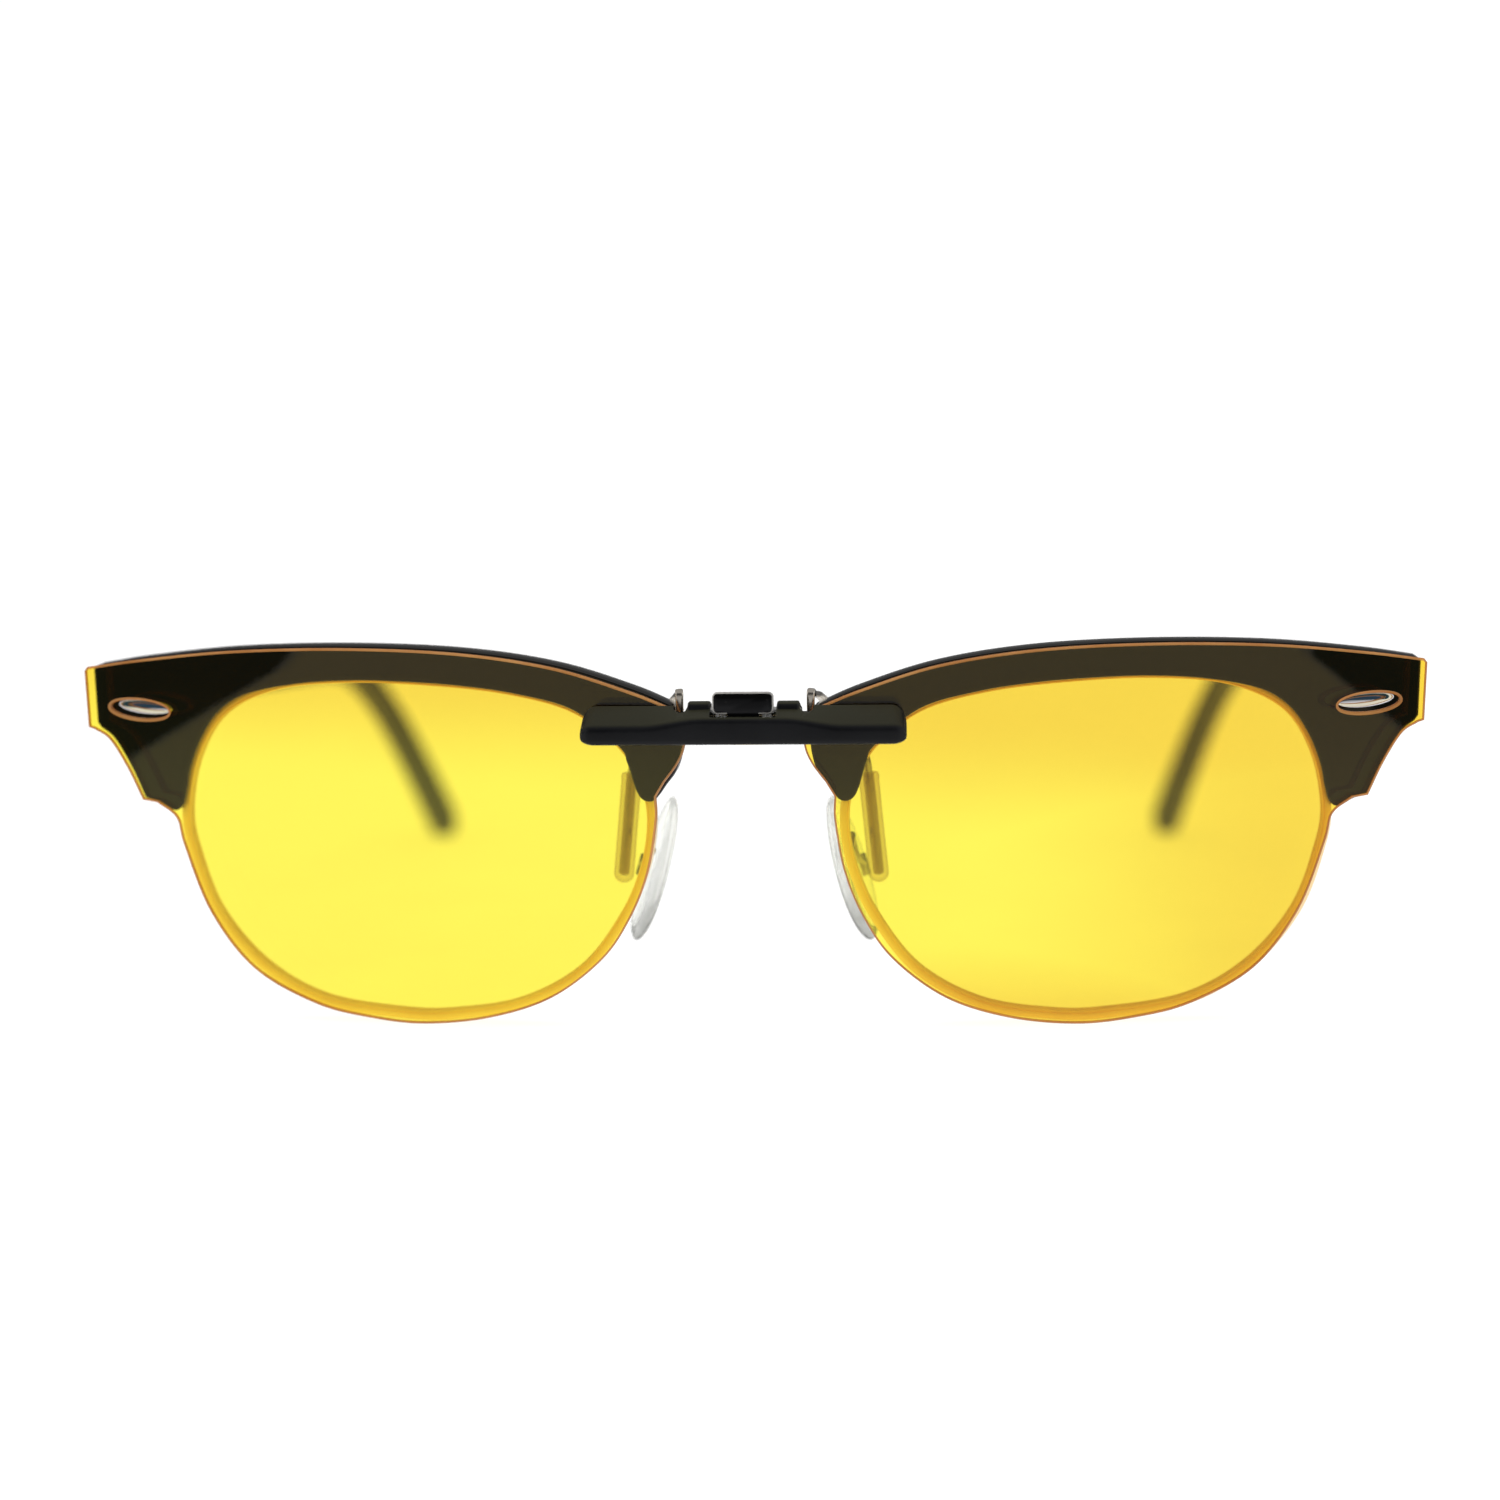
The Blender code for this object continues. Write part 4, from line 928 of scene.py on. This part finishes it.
def make_sleeve(side_name, side):
    """A clear thimble over the wire, with a thicker bead round its mouth."""
    start = Vector((side * 12.5, ARM_BACK, SLEEVE_TOP))
    length = SLEEVE_TOP - SLEEVE_BOTTOM
    up = Vector((-side * 1.0, 0, 10.4)).normalized()
    across = up.cross(Vector((0, 1, 0))).normalized()
    turn = Matrix((across, up, across.cross(up))).transposed().to_4x4()
    outer, inner, wall_end = SLEEVE_RADIUS, 0.6, 0.75
    profile = [(0.0, -length)]
    profile += [(outer * math.sin(a), 1 - length - math.cos(a)) for a in quarter(8)[1:]]
    profile += [(outer * 0.985, -length * 0.5), (outer, -0.9), (outer + 0.05, -0.45), (outer - 0.05, -0.08),
                (outer - 0.25, 0.0), (inner + 0.1, -0.05), (inner, -0.3)]
    bore = [(inner * math.cos(a), wall_end + 0.4 * (1 - math.sin(a)) - length) for a in quarter(6)]
    profile += bore[:-1] + [(0.0, bore[-1][1])]
    bm = turned_bm(profile, Matrix.Translation(start) @ turn, 36)
    add_piece(
        f"sleeve_{side_name}", bm, "sleeve", 60, "clip_prongs", "silicone", f"prong_sleeve_{side_name}"
    )


# ---- the spectacle front --------------------------------------------------------------


def make_brow(side_name, side):
    """A polished brow: crisp front chamfer, rounded back, and a rebate for the rim."""
    profile = [(0.2, BROW_FRONT), (0.06, BROW_FRONT + 0.06), (0.0, BROW_FRONT + 0.2)]
    profile += chamfered(BROW_BACK - 1, BROW_BACK, 0.0, 0.7, steps=3)[-4:]
    bm = sheet_bm(smooth_outline(BROW_OUTLINE, steps=8), profile, side, edge_rows=())
    brow = to_object(f"brow_piece_{side_name}", bm, ["acetate"], sharp=24)

    rim_outer = grown(spline(RIM_INNER, closed=True, steps=6), RIM_WIDTH + 0.12)
    pocket = sheet_bm(rim_outer, [(0, BROW_FRONT + BROW_LIP), (0, BROW_BACK + 3)], side)
    boolean(brow, pocket, sharp=24)
    seat = box_bm((4, BRIDGE_FRONT - 0.2, BRIDGE_BOTTOM - 0.2), (12, 8, BRIDGE_TOP + 0.2), side, 0.3)
    boolean(brow, seat, sharp=24)
    for x, z in BROW_SCREWS:
        bore = cylinder_bm((side * x, BROW_BACK + sag(x), z), BROW_SCREW_RADIUS + 0.12, 2.2, "y")
        boolean(brow, bore, sharp=24)
    true_the_normals(brow)
    place(brow, "spectacle_front", "black_acetate", f"brow_{side_name}")


def make_screw(name, place_at, radius, head, shank, slot_turn, node):
    """A domed, slotted screw head with its shank; place_at has the screw's y pointing out of the head."""
    dome = [(radius * math.sin(a), head * (0.4 + 0.6 * math.cos(a))) for a in quarter(5)[1:]]
    neck = radius * 0.6
    profile = [(0.0, head)] + dome + [(radius, -0.1), (neck, -0.15), (neck, -shank), (0.0, -shank)]
    screw = to_object(name, turned_bm(profile, place_at), ["steel"])
    slot = box_bm((-radius * 1.2, head * 0.35, -radius * 0.13), (radius * 1.2, head * 2, radius * 0.13))
    bmesh.ops.transform(slot, matrix=place_at @ Matrix.Rotation(slot_turn, 4, "Y"), verts=slot.verts)
    boolean(screw, slot)
    place(screw, "spectacle_front", "steel", node)


def make_brow_screws(side_name, side):
    """Two small screws in the back of the brow."""
    head, shank, sunk = 0.4, 0.6, 0.35
    for number, (x, z) in enumerate(BROW_SCREWS, 1):
        at = Matrix.Translation((side * x, BROW_BACK + sag(x) - sunk, z))
        name, node = f"brow_fixing_{side_name}_{number}", f"brow_screw_{side_name}_{number}"
        make_screw(name, at, BROW_SCREW_RADIUS, head, shank, 0.6 * number, node)


def make_plaque(side_name, side):
    """The domed metal plaque: a plain oval that swells towards its middle."""
    bm = bmesh.new()
    back = BROW_FRONT + 0.05
    wall, swell = 0.5, 0.3
    levels = [(1.0, 0.0), (1.0, wall)]
    levels += [(math.cos(a), wall + swell * math.sin(a)) for a in quarter(14)[1:-1]]
    rings = []
    for share, lift in levels:
        loop = ellipse(PLAQUE_X, PLAQUE_Z, PLAQUE_HALF[0] * share, PLAQUE_HALF[1] * share, PLAQUE_TILT, 56)
        rings.append([bm.verts.new((side * p.x, back - lift + sag(p.x), p.y)) for p in loop])
    skin(bm, rings)
    add_piece(
        f"plaque_{side_name}", bm, "plaque", 60, "spectacle_front", "steel", f"brow_plaque_{side_name}"
    )


def make_rim(side_name, side):
    """The metal rim: a closed ring with rounded edges, a fine line on the front and a lens groove."""
    inner = spline(RIM_INNER, closed=True, steps=10)
    ways = outward(inner)
    front, back, width = RIM_FRONT, RIM_BACK, RIM_WIDTH
    section = [
        (0.0, front + 0.3), (0.03, front + 0.14), (0.1, front + 0.03), (0.17, front), (0.22, front + 0.07),
        (0.27, front), (0.5, front - 0.03), (0.75, front), (0.88, front + 0.05), (0.97, front + 0.15),
        (width, front + 0.3),
        (width, back - 0.28), (0.93, back - 0.08), (0.8, back), (0.2, back), (0.07, back - 0.08),
        (0.0, back - 0.28), (0.0, LENS_BACK + 0.02), (0.45, LENS_BACK - 0.35), (0.45, LENS_FRONT + 0.35),
        (0.0, LENS_FRONT - 0.02),
    ]
    bm = bmesh.new()
    rings = []
    for point, way in zip(inner, ways):
        ring = []
        for out, y in section:
            spot = point + way * out
            ring.append(bm.verts.new((side * spot.x, y + sag(spot.x), spot.y)))
        rings.append(ring)
    for a, b in zip(rings, rings[1:] + rings[:1]):
        join(bm, a, b)
    add_piece(f"rim_ring_{side_name}", bm, "gold", 40, "spectacle_front", "gold_rim", f"rim_{side_name}")


def make_host_lens(side_name, side):
    """The spectacles' own lens, its edge bevelled to sit in the rim's groove."""
    edge = spline(RIM_INNER, closed=True, steps=8)
    middle = (LENS_FRONT + LENS_BACK) / 2
    profile = [(0.02, LENS_FRONT), (-0.4, middle), (0.02, LENS_BACK)]
    bm = sheet_bm(edge, profile, side, edge_rows=())
    lens = to_object(f"clear_lens_{side_name}", bm, ["clear_lens"], sharp=30)
    true_the_normals(lens)
    place(lens, "spectacle_front", "clear_lens", f"spectacle_lens_{side_name}")


def make_bridge():
    """The metal bridge: a gently arched strap with rounded edges and a shallow rib along it."""
    bm = bmesh.new()
    count, edge, rib, top_fall, foot_rise = 36, 0.35, 0.14, 1.1, 0.9
    front, back = BRIDGE_FRONT, BRIDGE_BACK
    rings = []
    for i in range(count + 1):
        x = -BRIDGE_HALF + 2 * BRIDGE_HALF * i / count
        share = x / BRIDGE_HALF
        top, bottom = BRIDGE_TOP - top_fall * share**2, BRIDGE_BOTTOM + foot_rise * share**2
        loop = [
            (front + edge, bottom), (front + 0.1, bottom + 0.1), (front, bottom + edge),
            (front, bottom + 0.9), (front - rib, bottom + 1.2), (front - rib, top - 1.2),
            (front, top - 0.9), (front, top - edge), (front + 0.1, top - 0.1), (front + edge, top),
            (back - edge, top), (back - 0.1, top - 0.1), (back, top - edge), (back, bottom + edge),
            (back - 0.1, bottom + 0.1), (back - edge, bottom),
        ]
        rings.append([bm.verts.new((x, y, z)) for y, z in loop])
    skin(bm, rings)
    add_piece("bridge_strap", bm, "gold", 40, "spectacle_front", "gold_rim", "bridge")


# ---- hinges and temples ---------------------------------------------------------------


def add_knuckle(leaf, side, height, low, high):
    """A hinge barrel at a height, and the neck between two corners that ties it to its leaf."""
    barrel = cylinder_bm((side * HINGE_X, HINGE_Y, height), BARREL_RADIUS, BARREL_LONG, "z", 36, 0.12)
    boolean(leaf, barrel, "UNION")
    boolean(leaf, box_bm((*low, height - 0.7), (*high, height + 0.7), side, 0.1), "UNION")


def make_hinge_front(side_name, side):
    """The leaf on the back of the brow, with an upper and a lower barrel."""
    back = BROW_BACK + sag(LEAF_OUTER) + 0.3
    plate = box_bm((LEAF_INNER, back, LEAF_FOOT), (LEAF_OUTER, back + 0.6, LEAF_TOP), side, 0.15)
    leaf = to_object(f"front_leaf_{side_name}", plate, ["steel"])
    for height in (HINGE_Z - KNUCKLE_PITCH, HINGE_Z + KNUCKLE_PITCH):
        add_knuckle(leaf, side, height, (HINGE_X - 1.1, back + 0.2), (HINGE_X + 1.1, HINGE_Y))
    boolean(leaf, cylinder_bm((side * HINGE_X, HINGE_Y, HINGE_Z), BARREL_BORE, 12, "z"))
    for z in (11.6, 15.6):
        boolean(leaf, cylinder_bm((side * 62.5, back + 0.9, z), 0.55, 1.0, "y", 24))
    place(leaf, "spectacle_front", "steel", f"hinge_leaf_front_{side_name}")


def make_hinge_temple(side_name, side):
    """The leaf on the inside of the temple, with the middle barrel."""
    plate = box_bm((HINGE_X + 0.85, HINGE_Y + 1.95, 11.9), (HINGE_X + 1.5, HINGE_Y + 9, 15.3), side, 0.15)
    leaf = to_object(f"temple_leaf_{side_name}", plate, ["steel"])
    add_knuckle(leaf, side, HINGE_Z, (HINGE_X + 0.2, HINGE_Y), (HINGE_X + 1.4, HINGE_Y + 3))
    boolean(leaf, cylinder_bm((side * HINGE_X, HINGE_Y, HINGE_Z), BARREL_BORE, 12, "z"))
    for y in (HINGE_Y + 4.2, HINGE_Y + 7.2):
        boolean(leaf, cylinder_bm((side * (HINGE_X + 0.6), y, HINGE_Z), 0.6, 1.0, "x", 24))
    place(leaf, f"temple_{side_name}", "steel", f"hinge_leaf_temple_{side_name}")


def make_hinge_screw(side_name, side):
    """The upright screw that the hinge turns on."""
    radius, head, shank, slot_turn, seat = 1.15, 0.5, 6.0, 0.5, 3.05
    at = Matrix.Translation((side * HINGE_X, HINGE_Y, HINGE_Z + seat)) @ AXIS_TURNS["z"]
    make_screw(f"hinge_fixing_{side_name}", at, radius, head, shank, slot_turn, f"hinge_screw_{side_name}")


def temple_line(side):
    """The middle of a temple from its butt to its tip."""
    line = (
        (67.5, TEMPLE_START, 13.6), (67.2, 22, 13.0), (65.2, 50, 11.3), (62.6, 75, 9.7),
        (60.5, 95, 7.9), (59.0, 104, 5.0), (56.9, 114, -1.6), (54.4, 124, -11.2), (52.2, 133.1, -20.6),
    )
    return [Vector((side * x, y, z)) for x, y, z in spline(line, steps=7)]


def temple_size(share):
    """Half width and half height, which fall towards the ear and grow again to the tip."""
    height = 3.3 - 1.25 * min(share / 0.55, 1) + 0.55 * max((share - 0.75) / 0.25, 0)
    return 1.55 - 0.25 * min(share / 0.5, 1) + 0.4 * max((share - 0.6) / 0.4, 0), height


def make_temple(side_name, side):
    """A polished temple: flat-sided with soft edges, a chamfered butt end and a round tip."""
    path, sizes = with_round_ends(temple_line(side), 3.4, temple_size, start=False, steps=10, blunt=0.5)
    first = path[0]
    ahead = (path[1] - first).normalized()
    width, height = sizes[0]
    path = [first, first + ahead * 0.12, first + ahead * 0.4] + path[1:]
    sizes = [(width - 0.25, height - 0.25), (width - 0.07, height - 0.07), (width, height)] + sizes[1:]
    bm = sweep_bm(path, sizes, 44, power=3.0)
    geometry = bm.verts[:] + bm.edges[:] + bm.faces[:]
    cut = bmesh.ops.bisect_plane(
        bm, geom=geometry, dist=0.0005, plane_co=(0, 0, TABLE), plane_no=(0, 0, -1), clear_outer=True
    )
    edges = [item for item in cut["geom_cut"] if isinstance(item, bmesh.types.BMEdge)]
    bmesh.ops.contextual_create(bm, geom=edges)
    body = f"temple_{side_name}"
    add_piece(f"temple_arm_{side_name}", bm, "temple", 40, body, "black_acetate", body)


# ---- nose pads ------------------------------------------------------------------------


def pad_matrix(side):
    """The pad's own frame: x across its width, y towards the nose, z up its length."""
    across = Vector((side * math.cos(PAD_YAW), math.sin(PAD_YAW), 0))
    along = Vector((-side * math.sin(PAD_SPLAY), 0, math.cos(PAD_SPLAY)))
    along = (along - across * along.dot(across)).normalized()
    facing = along.cross(across) * side
    centre = Vector((side * PAD_CENTRE.x, PAD_CENTRE.y, PAD_CENTRE.z))
    return Matrix.Translation(centre) @ Matrix((across, facing, along)).transposed().to_4x4()


def make_pad(side_name, side):
    """A drop-shaped soft pad with a domed nose face, a rounded rim and a flatter back."""
    bm = bmesh.new()
    at = pad_matrix(side)
    rings = []
    around, across, bluntness, taper, back_share = 64, 20, 0.62, 0.14, 0.8
    for j in range(1, across):
        polar = math.pi * j / across
        lift, reach = math.cos(polar), math.sin(polar) ** bluntness
        ring = []
        for k in range(around):
            angle = math.tau * k / around
            x, z = math.cos(angle) * reach, math.sin(angle) * reach
            width = PAD_HALF[0] * (1 - taper * z)
            depth = PAD_HALF[2] * (1.0 if lift > 0 else back_share)
            ring.append(bm.verts.new(at @ Vector((x * width, lift * depth, z * PAD_HALF[1]))))
        rings.append(ring)
    for a, b in zip(rings, rings[1:]):
        join(bm, a, b)
    for ring, lift in ((rings[0], PAD_HALF[2]), (rings[-1], -back_share * PAD_HALF[2])):
        tip = bm.verts.new(at @ Vector((0, lift, 0)))
        for k in range(around):
            bm.faces.new((ring[k - 1], ring[k], tip))
    add_piece(
        f"pad_{side_name}", bm, "pad", 70, f"nose_pad_{side_name}", "silicone", f"nose_pad_{side_name}"
    )


def make_pad_arm(side_name, side):
    """The looped wire from the rim, its solder foot, and the small box that holds the pad."""
    seat = pad_matrix(side) @ Vector((0, -PAD_HALF[2] - 0.7, 0))
    points = (
        (side * 10.5, 1.3, -2.4), (side * 10.7, 3.6, -1.2), (side * 10.8, 5.0, -2.2),
        (side * 11.3, 5.9, -4.0), tuple(seat),
    )
    path = [Vector(p) for p in spline(points, steps=10)]
    path, sizes = with_round_ends(path, 0.3, lambda share: (0.38, 0.38))
    arm = to_object(f"pad_wire_{side_name}", sweep_bm(path, sizes, 20), ["wire"])
    turn = pad_matrix(side).to_3x3().to_4x4()
    holder = box_bm((-0.75, -0.25, -1.2), (0.75, 0.25, 1.2), 1, 0.16)
    centre = pad_matrix(side) @ Vector((0, -PAD_HALF[2] - 0.5, 0))
    bmesh.ops.transform(holder, matrix=Matrix.Translation(centre) @ turn, verts=holder.verts)
    boolean(arm, holder, "UNION")
    foot = cylinder_bm((side * 10.5, 1.45, -2.45), 0.62, 0.7, "y", 24, 0.15)
    boolean(arm, foot, "UNION")
    place(arm, "spectacle_front", "steel", f"pad_arm_{side_name}")


# ---- stage, light and camera ----------------------------------------------------------

# The camera's own frame on the datum: where it stands and where it looks, in millimetres.
CAMERA_PLACE = Vector((20.2, -335.6, 51.3))
CAMERA_RIGHT = Vector((0.99826, 0.05773, -0.01227))
CAMERA_AHEAD = Vector((-0.05882, 0.99020, -0.12663))
CAMERA_LENS_MM = 77.87
SENSOR_MM = 36.0
APERTURE = 9.0

# The studio as the polished faces see it. Angles are in degrees left and right of the front.
CARD_LEFT, CARD_RIGHT = -44.0, 38.0
CARD, SIDE_WALLS, TABLE_GLOW, SHADE = 0.42, 0.9, 0.9, 0.05
BACK_LOW, CEILING = 0.12, 0.38

# Two black flags near the front, as (x, z) in millimetres on one upright plane.
FLAG_PLACE = -30.0
FLAGS = {
    "left": ((-118, -10.3), (-90.6, 2.2), (-65.0, 13.9), (-62.5, 16.0), (-61, 45), (-118, 45)),
    "right": ((73.4, 14.6), (88.7, 4.8), (102, -3.6), (102, 45), (72, 45)),
}


def make_world():
    """White for the camera, even light for diffuse faces, and a studio for reflections.

    The studio has a grey card straight ahead, white walls beyond it, a white table below, shade
    over the card, and a dim back and ceiling.
    """
    world = bpy.data.worlds.new("studio")
    bpy.context.scene.world = world
    world.use_nodes = True
    n = Nodes(world.node_tree)
    towards = n.make("ShaderNodeTexCoord").outputs["Generated"]
    x, y, z = (n.axis(towards, name) for name in "XYZ")
    azimuth = n.math("MULTIPLY", n.math("ARCTAN2", x, n.math("MULTIPLY", y, -1.0)), 180 / math.pi)
    past_left = n.span(azimuth, CARD_LEFT + 1, CARD_LEFT - 1, 0, 1, smooth=True)
    past_right = n.span(azimuth, CARD_RIGHT - 1, CARD_RIGHT + 1, 0, 1, smooth=True)
    beyond = n.math("MAXIMUM", past_left, past_right)
    behind = n.span(n.math("ABSOLUTE", azimuth), 120, 150, 0, 1, smooth=True)
    walls = n.mix(behind, SIDE_WALLS, BACK_LOW)
    ahead = n.mix(beyond, n.span(z, -0.155, -0.115, 1.25 * CARD, CARD), walls)
    over = n.mix(beyond, SHADE, walls)
    room = n.mix(n.span(z, -0.30, -0.17, 0, 1, smooth=True), TABLE_GLOW, ahead)
    room = n.mix(n.span(z, 0.02, 0.08, 0, 1, smooth=True), room, over)
    room = n.mix(n.span(z, 0.50, 0.70, 0, 1, smooth=True), room, CEILING)
    path = n.make("ShaderNodeLightPath")
    level = n.mix(path.outputs["Is Glossy Ray"], 1.0, room)
    seen = n.mix(path.outputs["Is Camera Ray"], level, 1.04)
    background = n.shader("ShaderNodeBackground", Color=(1.0, 1.0, 1.0), Strength=seen)
    n.link(background, n.make("ShaderNodeOutputWorld").inputs["Surface"])


def make_flat(name, corners, material):
    """A flat piece of the stage: one face between corners, in metres."""
    mesh = bpy.data.meshes.new(name)
    mesh.from_pydata(corners, [], [list(range(len(corners)))])
    mesh.materials.append(material)
    flat = new_object(name, mesh)
    return flat


def make_flag(name, outline):
    """A black flag that only the polished faces see."""
    material, n = new_material("flag_black")
    n.surface(n.shader("ShaderNodeEmission", Color=(0.35, 0.7, 1.0), Strength=0.07))
    flag = make_flat(name, [DATUM + Vector((x, FLAG_PLACE, z)) * MM for x, z in outline], material)
    flag.visible_camera = False
    flag.visible_diffuse = False
    flag.visible_shadow = False
    flag.visible_transmission = False


FLOOR_GLOW = 0.86


def make_floor():
    """A plain white floor, lit from beneath like a light table, so that shadows on it are faint."""
    material, n = new_material("pale_floor")
    tone = n.tone(n.noise(60, 3, 0.5), (0.19, 0.19, 0.19), (0.21, 0.21, 0.21))
    n.solid(
        Base_Color=tone, Roughness=1.0, Specular_IOR_Level=0.0,
        Emission_Color=(1, 1, 1), Emission_Strength=FLOOR_GLOW,
    )
    half, height = 30.0, -0.00005
    corners = [(-half, -half, 0), (half, -half, 0), (half, half, 0), (-half, half, 0)]
    floor = make_flat("floor", corners, material)
    floor.location.z = height
    floor.visible_glossy = False


def make_light(name, position, size, power, target):
    """A soft white panel aimed at a point, out of sight of the reflections."""
    light = bpy.data.lights.new(name, "AREA")
    light.shape = "RECTANGLE"
    light.size, light.size_y = size
    light.energy = power
    lamp = new_object(name, light)
    lamp.location = position
    lamp.rotation_euler = (Vector(target) - Vector(position)).to_track_quat("-Z", "Y").to_euler()
    lamp.visible_glossy = False


def make_focus_mark():
    """The point that stays sharp from every side: the middle of the clip bar."""
    mark = new_object("focus_mark", None)
    mark.location = DATUM + Vector((0.0, -4.0, 5.0)) * MM
    return mark


def make_camera():
    """The photo's camera: its place, lens and depth of field."""
    data = bpy.data.cameras.new("camera")
    data.sensor_width = SENSOR_MM
    data.lens = CAMERA_LENS_MM
    data.dof.use_dof = True
    data.dof.focus_object = make_focus_mark()
    data.dof.aperture_fstop = APERTURE
    camera = new_object("camera", data)
    up = CAMERA_RIGHT.cross(CAMERA_AHEAD)
    turn = Matrix((CAMERA_RIGHT, up, -CAMERA_AHEAD)).transposed().to_4x4()
    camera.matrix_world = Matrix.Translation(CAMERA_PLACE * MM + DATUM) @ turn
    bpy.context.scene.camera = camera


def set_colour_and_depth():
    """Plain colours, and enough see-through layers for plate, lens and sleeve in a row."""
    scene = bpy.context.scene
    scene.view_settings.view_transform = "Standard"
    scene.cycles.transparent_max_bounces = 32


SIDE_PIECES = (
    make_plate, make_rivets, make_spring, make_arm, make_sleeve, make_brow, make_brow_screws, make_plaque,
    make_rim, make_host_lens, make_hinge_front, make_hinge_temple, make_hinge_screw, make_temple,
    make_pad, make_pad_arm,
)

MATERIALS = make_materials()
make_bar()
make_lever()
make_pin()
make_bridge()
for side_name, side in SIDES.items():
    for make_piece in SIDE_PIECES:
        make_piece(side_name, side)
make_world()
for side_name, outline in FLAGS.items():
    make_flag(f"flag_{side_name}", outline)
make_floor()
make_light("top_softbox", (0.0, 0.10, 0.75), (0.9, 0.7), 3.2, (0, 0.02, 0.0))
make_light("front_fill", (-0.25, -0.7, 0.55), (0.5, 0.4), 1.6, (0, -0.06, 0.02))
make_camera()
set_colour_and_depth()
